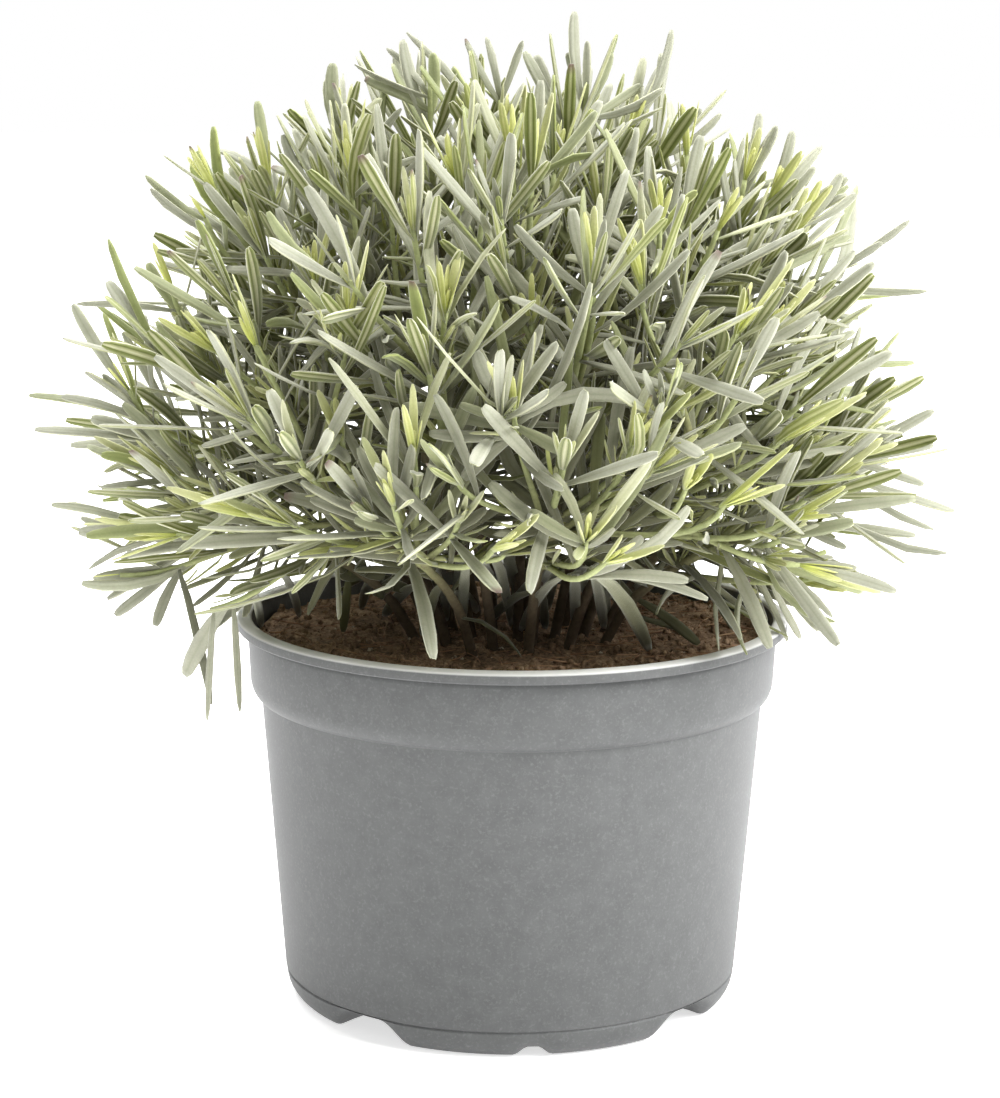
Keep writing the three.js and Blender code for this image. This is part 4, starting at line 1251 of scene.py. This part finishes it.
HANGING_TILT = 0.35
DEPTH_COST = 0.25
FRONT_MM = 150
HOLDING_SHARES = np.linspace(0.2, 0.98, 24)


def nearest_wood(pixel, before_axis):
    """The place on any shoot that shows nearest to a pixel, at about this far before the pot's axis."""
    choices = []
    for stem in stems:
        for shoot in [stem, *stem["side_shoots"], *stem["filling_shoots"]]:
            points = arch(*shoot["ends"], HOLDING_SHARES)
            x, y, _ = seen_at(points)
            cost = np.hypot(x - pixel[0], y - pixel[1]) + DEPTH_COST * abs(points[:, 1] + before_axis)
            best = int(np.argmin(cost))
            choices.append((cost[best], stem["index"], tuple(points[best])))
    _, index, root = min(choices)
    return index, np.array(root)


def hanging_leaf(draw, root_pixel, tip_pixel, before_axis, width):
    """An old leaf from the nearest wood in front to where its tip hangs in the photograph."""
    index, root = nearest_wood(root_pixel, FRONT_MM)
    sight = line_of_sight(*tip_pixel)
    if before_axis is None:
        tip = CAMERA_PLACE_MM + sight * (HANGING_CLEAR_MM - CAMERA_PLACE_MM[2]) / sight[2]
    else:
        tip = CAMERA_PLACE_MM + sight * (-before_axis - CAMERA_PLACE_MM[1]) / sight[1]
    way = tip - root
    rise = UP * HANGING_ARCH * math.sqrt(way @ way) * draw.uniform(*HANGING_ARCHES)
    across = unit(np.cross(way, (0, 1, 0)) + np.array([HANGING_TILT, 0, 0]))
    leaf = {"root": root, "along": way + rise, "bend": -rise, "hook": rise * 0,
            "across": across, "width": width, "youth": 0.0}
    stems[index]["leaves"].append(finish_leaf(draw, leaf))
    return leaf


# Leaves that show by themselves in the photograph: the pixel of the tip and of the root, how many pixels the
# leaf bows to the left of its way, and its width. First those that stand out of the plant's outline.
OUTLINE_LEAVES = (
    ((27, 395), (165, 428), -8, 3.4), ((60, 396), (150, 418), -4, 3.8), ((33, 429), (160, 450), -3, 4.2),
    ((90, 418), (155, 452), -2, 5.6), ((100, 455), (180, 488), -6, 4.4), ((100, 487), (150, 490), 0, 3.0),
    ((50, 505), (140, 525), -4, 3.4), ((77, 532), (180, 538), -1, 5.4), ((88, 570), (190, 545), -10, 2.8),
    ((92, 580), (175, 566), 0, 5.2), ((80, 583), (200, 570), 12, 4.4), ((114, 616), (185, 585), 0, 4.2),
    ((155, 627), (190, 575), -3, 4.2), ((108, 238), (150, 360), 4, 3.2), ((107, 280), (145, 370), 0, 5.2),
    ((72, 303), (125, 365), 3, 4.6), ((76, 304), (160, 320), -3, 2.8), ((102, 374), (145, 400), 0, 3.0),
    ((148, 262), (165, 320), 2, 4.4), ((145, 175), (200, 225), 3, 3.0), ((150, 188), (200, 240), 4, 3.2),
    ((163, 155), (210, 185), 0, 3.2), ((192, 162), (240, 230), 5, 5.0), ((213, 125), (250, 215), 6, 4.8),
    ((197, 150), (238, 195), 0, 3.4), ((257, 100), (285, 160), 0, 4.2), ((328, 78), (331, 125), 2, 5.0),
    ((333, 62), (352, 125), 4, 5.2), ((386, 48), (405, 95), -4, 2.8), ((403, 38), (418, 130), 4, 5.4),
    ((354, 64), (398, 98), 3, 2.8), ((364, 78), (402, 112), -3, 5.0), ((432, 52), (424, 120), -3, 4.6),
    ((437, 55), (432, 125), 2, 4.6), ((465, 38), (505, 85), 2, 3.0), ((486, 36), (504, 75), -2, 3.0),
    ((523, 40), (503, 85), 0, 3.0), ((524, 50), (538, 120), 0, 4.4), ((536, 54), (546, 125), 2, 5.0),
    ((575, 10), (586, 112), 4, 4.6), ((587, 40), (588, 100), 0, 3.4), ((567, 52), (580, 105), 0, 3.6),
    ((612, 52), (590, 115), -3, 3.4), ((672, 28), (636, 112), -8, 3.4), ((642, 84), (600, 125), 0, 3.6),
    ((664, 88), (602, 124), -8, 3.6), ((701, 108), (666, 148), -2, 4.2),
    ((722, 113), (662, 152), -6, 3.6), ((760, 112), (732, 162), -2, 3.8),
    ((777, 125), (752, 165), -2, 4.0), ((793, 130), (774, 175), -3, 4.2),
    ((823, 145), (795, 185), -2, 4.8), ((842, 172), (798, 215), -4, 4.2),
    ((857, 193), (815, 240), -4, 3.8), ((910, 220), (845, 258), -2, 3.0),
    ((883, 242), (845, 275), 0, 3.2), ((928, 291), (856, 315), -3, 3.2),
    ((875, 345), (842, 408), -3, 3.0), ((882, 377), (852, 425), 0, 3.6),
    ((911, 381), (862, 430), -4, 4.2), ((892, 408), (822, 455), -3, 5.0),
    ((898, 425), (835, 452), -2, 4.2), ((935, 445), (845, 468), 2, 3.8), ((925, 485), (850, 463), 1, 3.4),
    ((935, 530), (832, 476), -6, 2.8), ((948, 553), (825, 494), -12, 3.2),
    ((898, 592), (828, 570), 3, 4.2), ((858, 568), (790, 572), 2, 4.0),
    ((836, 622), (762, 575), -14, 2.8), ((833, 618), (775, 575), 2, 2.6),
    ((847, 548), (795, 534), 0, 3.4), ((845, 512), (785, 520), 0, 3.4),
)

# Then those in the middle, the nearest to the camera.
MIDDLE_LEAVES = (
    ((401, 406), (513, 430), -2, 5.0), ((428, 433), (510, 438), 2, 4.8), ((459, 404), (515, 422), 2, 3.6),
    ((476, 350), (513, 400), 6, 5.2), ((535, 331), (524, 418), -2, 5.0),
    ((566, 382), (527, 416), -3, 3.8), ((634, 401), (536, 424), 18, 5.0),
    ((564, 452), (523, 424), 0, 4.6), ((463, 480), (523, 434), -3, 5.4), ((503, 443), (536, 484), 6, 5.0),
    ((487, 507), (405, 537), -8, 4.6), ((300, 480), (392, 530), 3, 4.6), ((353, 470), (395, 530), 0, 4.0),
    ((354, 519), (396, 534), 2, 3.6), ((397, 406), (404, 500), 2, 4.4), ((426, 480), (406, 528), -4, 3.4),
    ((580, 436), (592, 526), 2, 4.2), ((602, 412), (596, 520), 2, 4.4), ((672, 483), (612, 528), -3, 4.6),
    ((643, 536), (592, 575), -6, 5.6), ((615, 528), (594, 552), -3, 4.8),
    ((500, 477), (578, 526), 4, 5.0), ((489, 481), (572, 548), 6, 5.0), ((530, 510), (586, 532), 2, 4.0),
    ((690, 505), (614, 566), -12, 4.6), ((690, 581), (584, 581), 5, 4.2),
    ((424, 196), (313, 260), 5, 3.4), ((490, 194), (378, 250), -6, 3.6), ((419, 157), (361, 198), 5, 3.0),
    ((402, 108), (363, 186), 6, 3.2), ((452, 116), (368, 208), -6, 3.4),
    ((282, 133), (353, 232), 12, 3.8), ((267, 210), (337, 277), 12, 3.6),
    ((596, 155), (523, 186), 7, 3.2), ((549, 104), (520, 190), -5, 5.0), ((766, 290), (614, 322), 6, 3.4),
    ((572, 207), (600, 282), 3, 4.8), ((514, 224), (590, 300), 5, 4.0), ((709, 372), (768, 460), 6, 4.2),
    ((460, 205), (400, 245), -6, 3.2), ((192, 318), (285, 306), 14, 3.0),
    ((190, 316), (250, 330), 4, 3.0),
)
LONGEST_LEAF_MM = 56
SHOWING_DEPTHS_MM = (-9, 5)
SHOWING_TURN_SPREAD = 0.5


def showing_leaf(draw, tip_pixel, root_pixel, bow, width, before_axis):
    """A leaf from the wood by its root to its tip, about as far from the camera as its root."""
    _, up, ahead = camera_axes()
    index, root = nearest_wood(root_pixel, before_axis)
    sight = line_of_sight(*tip_pixel)
    depth = (root - CAMERA_PLACE_MM) @ ahead
    tip = CAMERA_PLACE_MM + sight / (sight @ ahead) * (depth + draw.uniform(*SHOWING_DEPTHS_MM))
    way = tip - root
    if way @ way > LONGEST_LEAF_MM ** 2:
        return None
    aside = unit(np.cross(-sight, way))
    bulge = aside * bow * PIXEL * depth
    turn = draw.gauss(0, SHOWING_TURN_SPREAD)
    leaf = {"root": root, "along": way + 4 * bulge, "bend": -4 * bulge, "hook": bulge * 0,
            "across": aside * math.cos(turn) - sight * math.sin(turn), "width": width, "youth": 0.0,
            "stem": index}
    return finish_leaf(draw, leaf)


room = np.zeros(ROOM_CELLS, dtype=bool)
growth_draw = random.Random(GROWTH_SEED)
for stem in stems:
    for shoot in [stem, *stem["side_shoots"]]:
        room[room_cells(wood_points(shoot))] = True
    for leaf in stem["leaves"]:
        leaf.update(width=LEAF_WIDTH_MM * growth_draw.uniform(*SOURCE_WIDTHS), youth=0.0)
        take_room(finish_leaf(growth_draw, leaf), room)
    stem["filling_shoots"] = []
showing = [showing_shoot(*tuft) for tuft in SHOWING_TUFTS]
for hanging in HANGING_LEAVES:
    leaf = hanging_leaf(growth_draw, *hanging)
    take_room(leaf, room)
    keep_in_sight(leaf)
for group, before_axis in ((MIDDLE_LEAVES, FRONT_MM), (OUTLINE_LEAVES, 0)):
    for place in group:
        leaf = showing_leaf(growth_draw, *place, before_axis)
        if leaf:
            stems[leaf["stem"]]["leaves"].append(leaf)
            take_room(leaf, room)
            keep_in_sight(leaf)
for stem, shoot in showing:
    room[room_cells(wood_points(shoot))] = True
for stem, shoot in showing:
    opening = UPRIGHT_OPENING + FACING_OPENING * shoot["facing"]
    tuft = list(filling_leaves(growth_draw, shoot, room, 1.0, opening))
    stem["leaves"] += tuft
    for leaf in tuft:
        keep_in_sight(leaf)
for stem in stems:
    added = filling_shoots(growth_draw, stem)
    for shoot in [stem, *stem["side_shoots"], *added]:
        youth = growth_draw.choice(TUFT_YOUTHS)
        opening = UPRIGHT_OPENING + LEANING_OPENING * math.acos(shoot["end"][2])
        stem["leaves"] += filling_leaves(growth_draw, shoot, room, youth, opening)
    stem["filling_shoots"] += added

# Last, leaves deep in the plant that close the gaps in its middle, where no white ground shows through.
CLOSED_MIDDLE = (500, 372)
CLOSED_REACH = (320, 252)
GAP_ROUNDS = 4
GAP_DEPTHS_MM = (-30, 90)
GAP_ROOTS = (25, 60)
GAP_TIPS = (8, 30)
GAP_LEANS = (0.3, 2.84)
GAP_BOWS = (-8, 8)
GAP_WIDTH_MM = 4.9
GAP_STEPS = 12


def closes_gap(leaf, open_cells):
    """True where a leaf may grow and would cover an open cell of the photograph's closed middle."""
    points = blade_samples(leaf, GAP_STEPS)
    barred = refused(points) | hides_shown_leaf(points) | ~clear_of_pot(points, LEAF_CLEAR_MM)
    columns, rows, _ = in_sight_cells(points)
    return not barred.any() and open_cells[columns, rows].any()


def cover(points, open_cells):
    columns, rows, _ = in_sight_cells(points)
    open_cells[columns, rows] = False


columns, rows = np.mgrid[0:shown_depth.shape[0], 0:shown_depth.shape[1]]
off_middle_x = ((columns + 0.5) * SIGHT_CELL - CLOSED_MIDDLE[0]) / CLOSED_REACH[0]
off_middle_y = ((rows + 0.5) * SIGHT_CELL - CLOSED_MIDDLE[1]) / CLOSED_REACH[1]
open_cells = np.hypot(off_middle_x, off_middle_y) < 1
for stem in stems:
    for shoot in [stem, *stem["side_shoots"], *stem["filling_shoots"]]:
        cover(wood_points(shoot), open_cells)
    for leaf in stem["leaves"]:
        cover(blade_samples(leaf, SIGHT_STEPS), open_cells)
for _ in range(GAP_ROUNDS):
    for cell in zip(*np.nonzero(open_cells)):
        if open_cells[cell]:
            middle = (np.array(cell) + 0.5) * SIGHT_CELL
            lean = growth_draw.uniform(*GAP_LEANS)
            down = np.array([math.cos(lean), math.sin(lean)])
            leaf = showing_leaf(
                growth_draw, middle - down * growth_draw.uniform(*GAP_TIPS),
                middle + down * growth_draw.uniform(*GAP_ROOTS), growth_draw.uniform(*GAP_BOWS),
                GAP_WIDTH_MM, -growth_draw.uniform(*GAP_DEPTHS_MM))
            if leaf and closes_gap(leaf, open_cells):
                stems[leaf["stem"]]["leaves"].append(leaf)
                cover(blade_samples(leaf, SIGHT_STEPS), open_cells)


# A full-grown blade, modelled once, one unit long along +Y and one unit from midrib to margin, upper side up.
# Its margins are rolled under and its midrib stands out below, as the section's corners give it.
BLADE_SECTION = ((0, 0.06), (0.42, 0.2), (0.9, 0.02), (0.86, -0.36), (0.4, -0.1), (0, -0.34))
BLADE_RINGS = ((0.12, 0.52), (0.34, 0.8), (0.6, 1.0), (0.82, 0.95), (0.935, 0.74), (0.985, 0.42))
BLADE_ROOT = 0.34
YOUNG_SECTION = ((0, 0.02), (0.75, 0.3), (0.95, -0.05), (0.45, -0.12), (0, -0.3))
YOUNG_RINGS = ((0.3, 0.85), (0.7, 1.0), (0.92, 0.7), (0.99, 0.25))
YOUNG_ROOT = 0.4
YOUNG_WIDTH_MM = 3.3
WOOD_SECTION = ((0, 1.0), (0.62, 0.72), (1.0, 0), (0.62, -0.72), (0, -1.0))
WOOD_STEPS = 12
WOOD_RINGS = tuple(((step + 1) / WOOD_STEPS, 1.0) for step in range(WOOD_STEPS))
WOOD_TAPER = 0.8
# Painted shade inside the dome: full within this share of its radius, and gone past the outer share.
INNER_SHARE = 0.5
OUTER_SHARE = 0.93


def unit_length(section, rings, root):
    """A closed form along +Y: the section's corners, then extruded and scaled ring by ring."""
    corners = len(section) * 2 - 2
    bpy.ops.object.select_all(action="DESELECT")
    bpy.ops.mesh.primitive_circle_add(vertices=corners, radius=1, fill_type="NGON",
                                      rotation=(math.pi / 2, 0, 0))
    blade = bpy.context.object
    bpy.ops.object.transform_apply(rotation=True)
    across = [*section, *[(-x, z) for x, z in section[-2:0:-1]]]
    for corner, (x, z) in zip(blade.data.vertices, across):
        corner.co = (x * root, 0, z * root)
    bpy.ops.object.mode_set(mode="EDIT")
    bpy.ops.mesh.select_all(action="SELECT")
    before, size = 0, root
    for along, width in rings:
        bpy.ops.mesh.extrude_region_move(TRANSFORM_OT_translate={"value": (0, along - before, 0)})
        scale = width / size
        bpy.ops.transform.resize(value=(scale, 1, scale), center_override=(0, along, 0))
        before, size = along, width
    bpy.ops.mesh.select_all(action="SELECT")
    bpy.ops.mesh.normals_make_consistent(inside=False)
    bpy.ops.object.mode_set(mode="OBJECT")
    place, faces = prototype(blade)
    round_it = np.arange(len(place)) % corners
    return {"place": place, "faces": faces, "corner": round_it / corners, "corners": corners}


full_blade = unit_length(BLADE_SECTION, BLADE_RINGS, BLADE_ROOT)
young_blade = unit_length(YOUNG_SECTION, YOUNG_RINGS, YOUNG_ROOT)
shoot_wood = unit_length(WOOD_SECTION, WOOD_RINGS, 1.0)


def laid(shape, middle, ahead, across, half_widths, twist):
    """The prototype bent along a line: its middle, direction and width at each of its vertices."""
    across = across - ahead * np.einsum("ij,ij->i", ahead, across)[:, None]
    across /= np.linalg.norm(across, axis=1)[:, None]
    above = np.cross(across, ahead)
    turn = twist[:, None]
    side = across * np.cos(turn) + above * np.sin(turn)
    above = above * np.cos(turn) - across * np.sin(turn)
    x, z = shape["place"][:, 0:1], shape["place"][:, 2:3]
    return middle + (side * x + above * z) * half_widths[:, None]


def blade_place(leaf):
    shape = full_blade if leaf["width"] > YOUNG_WIDTH_MM else young_blade
    share = shape["place"][:, 1]
    middle = leaf_points(leaf, share)
    ahead = leaf_directions(leaf, share)
    across = np.broadcast_to(-leaf["across"], middle.shape).copy()
    widths = np.full(len(share), leaf["width"] / 2)
    return shape, laid(shape, middle, ahead, across, widths, leaf["twist"] * share)


def wood_place(shoot, buried):
    share = shoot_wood["place"][:, 1]
    if buried:
        reach = BURIED_LENGTH_MM / shoot_length(shoot)
        share = share * (1 + reach) - reach
    inside_arch = np.clip(share, 0, 1)
    middle = arch(*shoot["ends"], inside_arch)
    ahead = arch(*shoot["ends"], np.clip(inside_arch + 0.001, 0, 1)) - arch(
        *shoot["ends"], np.clip(inside_arch - 0.001, 0, 1))
    ahead /= np.linalg.norm(ahead, axis=1)[:, None]
    if buried:
        middle = middle + shoot["start"] * np.minimum(share, 0)[:, None] * shoot_length(shoot)
    level = np.broadcast_to(shoot["level"], middle.shape).copy()
    below_radius, above_radius = shoot["radii"]
    radii = below_radius + (above_radius * WOOD_TAPER - below_radius) * inside_arch
    return laid(shoot_wood, middle, ahead, level, radii, np.full(len(share), shoot["twist"]))


def leafy_mesh(name, stem):
    """One leafy stem as one mesh, with the map and the colour attribute that its materials read."""
    copies, corners, shares, growth = [], [], [], []
    shoots = [(stem, True), *[(shoot, False) for shoot in stem["side_shoots"] + stem["filling_shoots"]]]
    for shoot, buried in shoots:
        copies.append((wood_place(shoot, buried) * MM, shoot_wood["faces"], 1))
        corners.append(shoot_wood["corner"])
        shares.append(shoot_wood["place"][:, 1])
        age = np.zeros((len(shoot_wood["place"]), 4))
        age[:, 0] = shares[-1] if buried else 0.5 + shares[-1] / 2
        growth.append(age)
    for leaf in stem["leaves"]:
        shape, place = blade_place(leaf)
        copies.append((place * MM, shape["faces"], 0))
        corners.append(shape["corner"])
        shares.append(shape["place"][:, 1])
        growth.append(np.broadcast_to([leaf["youth"], leaf["tone"], leaf["browning"], 1], (len(place), 4)))
    piece = assembled(name, copies, [lavender_leaf, lavender_stem])
    mesh = piece.data
    colour = mesh.attributes.new("growth", "FLOAT_COLOR", "POINT")
    colour.data.foreach_set("color", np.concatenate(growth).ravel())
    # Painted shade: each point's share of the way out of the dome, 0 deep inside and 1 at its outside, which
    # the leaf material turns into darkening.
    from_centre = np.concatenate([place for place, _, _ in copies]) / MM - DOME_CENTRE_MM
    from_centre = from_centre * (1, 1, FOLIAGE_RADIUS_MM / FOLIAGE_RISE_MM)
    depth = np.linalg.norm(from_centre, axis=1) / FOLIAGE_RADIUS_MM
    weathering = mesh.attributes.new("weathering", "FLOAT", "POINT")
    weathering.data.foreach_set("value", smoothed((depth - INNER_SHARE) / (OUTER_SHARE - INNER_SHARE)))
    at_corner = np.empty(len(mesh.loops), dtype=int)
    mesh.loops.foreach_get("vertex_index", at_corner)
    from_midrib = abs(np.concatenate(corners) * 2 - 1)
    unwrapped = np.column_stack([from_midrib, np.concatenate(shares)])[at_corner]
    mesh.uv_layers.new(name="Blade").data.foreach_set("uv", unwrapped.ravel())
    return piece


# Lavender leaf: thick, soft and matt. A felt of fine pale hairs makes the upper side silver-grey; the rolled
# margins and the sunk lines beside the midrib below show greener. Young leaves are yellow-green. The hairs
# are a tenth of a millimetre, and are drawn as tufts of 0.4 mm so that they show. Blotches are 9 mm.
lavender_leaf, tree = material("felted_lavender_leaf")
blade_map = node(tree, "ShaderNodeUVMap", {"uv_map": "Blade"})
on_blade = node(tree, "ShaderNodeSeparateXYZ", {}, {"Vector": blade_map.outputs["UV"]})
grown = node(tree, "ShaderNodeAttribute", {"attribute_name": "growth"})
tones = node(tree, "ShaderNodeSeparateColor", {}, {"Color": grown.outputs["Color"]})
where = node(tree, "ShaderNodeTexCoord").outputs["Object"]
felt = node(tree, "ShaderNodeTexNoise", {"Scale": 1 / 0.0008, "Detail": 3.0, "Roughness": 0.7},
            {"Vector": where})
blotch = node(tree, "ShaderNodeTexNoise", {"Scale": 1 / 0.009, "Detail": 2.0}, {"Vector": where})
section_colour = node(tree, "ShaderNodeValToRGB", {"stops": [
    (0.0, "B6B694"), (0.12, "9A9C6E"), (0.2, "5D672D"), (0.3, "7D854A"), (0.46, "B2B48C"), (0.56, "C7C7B3"),
    (0.64, "A7A896"), (0.9, "A2A391"), (1.0, "969984")]}, {"Fac": on_blade.outputs["X"]})
green_colour = node(tree, "ShaderNodeValToRGB", {"stops": [
    (0.0, "ACB276"), (0.2, "606B2C"), (0.32, "838E45"), (0.5, "ACB56F"), (0.64, "8E9758"),
    (1.0, "7D8748")]}, {"Fac": on_blade.outputs["X"]})
greenness = node(tree, "ShaderNodeMapRange", {"From Min": 0.72, "From Max": 1.0},
                 {"Value": tones.outputs["Green"]})
silvered = node(tree, "ShaderNodeMix", {"data_type": "RGBA"},
                {0: greenness.outputs["Result"], 6: section_colour.outputs["Color"],
                 7: green_colour.outputs["Color"]})
# Painted shade: leaves deep inside the dome are mixed towards a dark olive, most at the middle and not at all
# at the outside.
out_in_light = node(tree, "ShaderNodeAttribute", {"attribute_name": "weathering"})
painted_shade_amount = node(tree, "ShaderNodeMapRange", {"To Min": 0.85, "To Max": 0.0},
                {"Value": out_in_light.outputs["Fac"]})
painted_shade_mix = node(tree, "ShaderNodeMix", {"data_type": "RGBA", 7: linear("46451D")},
            {0: painted_shade_amount.outputs["Result"], 6: silvered.outputs[2]})
young_colour = node(tree, "ShaderNodeValToRGB",
                    {"stops": [(0.0, "AEBB52"), (0.35, "CBD169"), (1.0, "DCDD98")]},
                    {"Fac": on_blade.outputs["Y"]})
blade_colour = node(tree, "ShaderNodeMix", {"data_type": "RGBA"},
                    {0: tones.outputs["Red"], 6: painted_shade_mix.outputs[2], 7: young_colour.outputs["Color"]})
tip_share = node(tree, "ShaderNodeMapRange", {"From Min": 0.9, "From Max": 0.99},
                 {"Value": on_blade.outputs["Y"]})
browned = node(tree, "ShaderNodeMath", {"operation": "MULTIPLY"},
               {0: tip_share.outputs["Result"], 1: tones.outputs["Blue"]})
tipped = node(tree, "ShaderNodeMix", {"data_type": "RGBA", 7: linear("6E5A52")},
              {0: browned.outputs[0], 6: blade_colour.outputs[2]})
felt_value = node(tree, "ShaderNodeMapRange",
                  {"From Min": 0.3, "From Max": 0.7, "To Min": 0.93, "To Max": 1.07},
                  {"Value": felt.outputs["Fac"]})
blotch_value = node(tree, "ShaderNodeMapRange",
                    {"From Min": 0.3, "From Max": 0.7, "To Min": 0.92, "To Max": 1.08},
                    {"Value": blotch.outputs["Fac"]})
brightness = node(tree, "ShaderNodeMath", {"operation": "MULTIPLY"},
                  {0: felt_value.outputs["Result"], 1: blotch_value.outputs["Result"]})
leaf_colour = node(tree, "ShaderNodeHueSaturation", {},
                   {"Color": tipped.outputs[2], "Value": brightness.outputs[0]})
nap = node(tree, "ShaderNodeBump", {"Strength": 0.35, "Distance": 0.0003}, {"Height": felt.outputs["Fac"]})
shader = node(tree, "ShaderNodeBsdfPrincipled",
              {"Roughness": 0.68, "Specular IOR Level": 0.3, "Sheen Weight": 0.5, "Sheen Roughness": 0.45,
               "Sheen Tint": linear("E8E8E0")},
              {"Base Color": leaf_colour.outputs["Color"], "Normal": nap.outputs["Normal"]})
node(tree, "ShaderNodeOutputMaterial", {}, {"Surface": shader.outputs["BSDF"]})

# Lavender stem: green and felted where it is this year's, corky grey-brown bark near the foot. Cork cracks
# are about 2 mm apart.
lavender_stem, tree = material("square_lavender_stem")
grown = node(tree, "ShaderNodeAttribute", {"attribute_name": "growth"})
tones = node(tree, "ShaderNodeSeparateColor", {}, {"Color": grown.outputs["Color"]})
where = node(tree, "ShaderNodeTexCoord").outputs["Object"]
cork = node(tree, "ShaderNodeTexNoise", {"Scale": 1 / 0.002, "Detail": 4.0, "Roughness": 0.7},
            {"Vector": where})
age_colour = node(tree, "ShaderNodeValToRGB", {"stops": [
    (0.1, "5E5142"), (0.3, "6A5E4B"), (0.5, "7A7455"), (0.65, "8C8E62"), (0.9, "A7AE7C")]},
                  {"Fac": tones.outputs["Red"]})
stem_value = node(tree, "ShaderNodeMapRange",
                  {"From Min": 0.3, "From Max": 0.7, "To Min": 0.75, "To Max": 1.1},
                  {"Value": cork.outputs["Fac"]})
stem_colour = node(tree, "ShaderNodeHueSaturation", {},
                   {"Color": age_colour.outputs["Color"], "Value": stem_value.outputs["Result"]})
cracks = node(tree, "ShaderNodeBump", {"Strength": 0.5, "Distance": 0.0004}, {"Height": cork.outputs["Fac"]})
shader = node(tree, "ShaderNodeBsdfPrincipled", {"Roughness": 0.8, "Specular IOR Level": 0.25},
              {"Base Color": stem_colour.outputs["Color"], "Normal": cracks.outputs["Normal"]})
node(tree, "ShaderNodeOutputMaterial", {}, {"Surface": shader.outputs["BSDF"]})

for stem in stems:
    number = f"{stem['index'] + 1:02d}"
    piece = leafy_mesh(f"lavender_stem_{number}", stem)
    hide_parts(f"leafy_stem_{number}")
    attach(piece, "root")


# Studio
# A plain white floor, a bright even sky that also makes the white background, a large soft lamp on the right,
# one above, one behind for the leaves' edges, and a weak one in front for the growing medium.

FLOOR_SIZE = 12.0
SKY_LIGHT = 0.33
bpy.ops.object.select_all(action="DESELECT")
bpy.ops.mesh.primitive_plane_add(size=FLOOR_SIZE)
floor = bpy.context.object
floor.name = "studio_floor"
white, tree = material("matt_white_floor")
from_pot = node(tree, "ShaderNodeVectorMath", {"operation": "LENGTH"},
                {0: node(tree, "ShaderNodeTexCoord").outputs["Object"]})
glow = node(tree, "ShaderNodeMapRange", {"From Min": 0.1, "From Max": 1.2, "To Min": 0.6, "To Max": 0.75},
            {"Value": from_pot.outputs["Value"]})
shader = node(tree, "ShaderNodeBsdfPrincipled",
              {"Base Color": linear("F4F4F4"), "Roughness": 0.9, "Emission Color": (1, 1, 1, 1)},
              {"Emission Strength": glow.outputs["Result"]})
node(tree, "ShaderNodeOutputMaterial", {}, {"Surface": shader.outputs["BSDF"]})
floor.data.materials.append(white)

sky = bpy.data.worlds.new("even_white_sky")
bpy.context.scene.world = sky
sky.use_nodes = True
sky.node_tree.nodes.clear()
seen = node(sky.node_tree, "ShaderNodeLightPath").outputs["Is Camera Ray"]
strength = node(sky.node_tree, "ShaderNodeMapRange", {"To Min": SKY_LIGHT, "To Max": 1.0}, {"Value": seen})
glow = node(sky.node_tree, "ShaderNodeBackground", {"Color": (1, 1, 1, 1)},
            {"Strength": strength.outputs["Result"]})
node(sky.node_tree, "ShaderNodeOutputWorld", {}, {"Surface": glow.outputs["Background"]})


def soft_lamp(name, place, aim, width, power):
    """A square area lamp that faces a point."""
    lamp = bpy.data.objects.new(name, bpy.data.lights.new(name, "AREA"))
    lamp.data.size = width
    lamp.data.energy = power
    lamp.location = place
    lamp.rotation_euler = (Vector(aim) - Vector(place)).to_track_quat("-Z", "Y").to_euler()
    bpy.context.scene.collection.objects.link(lamp)


soft_lamp("key_lamp", (1.7, -0.7, 1.6), (0, 0, 0.18), 1.3, 85)
soft_lamp("top_lamp", (-0.45, 0.5, 2.2), (0, 0, 0.18), 1.3, 80)
soft_lamp("back_lamp", (-0.2, 1.8, 1.6), (0, 0, 0.2), 1.1, 30)
soft_lamp("front_lamp", (-0.1, -2.1, 1.65), (0, 0, 0.14), 1.0, 4)

bpy.context.scene.view_settings.view_transform = "Standard"
bpy.context.scene.view_settings.look = "None"

# The camera stands where the photograph was taken from: a metre in front, looking down by 10.8 degrees.
camera = bpy.data.objects.new("camera", bpy.data.cameras.new("camera"))
camera.data.sensor_fit = "VERTICAL"
camera.data.sensor_height = CAMERA_FILM
camera.data.lens = CAMERA_LENS
right, up, ahead = camera_axes()
camera.matrix_world = Matrix((right, up, -ahead)).transposed().to_4x4()
camera.location = CAMERA_PLACE_MM * MM
bpy.context.scene.collection.objects.link(camera)
bpy.context.scene.camera = camera
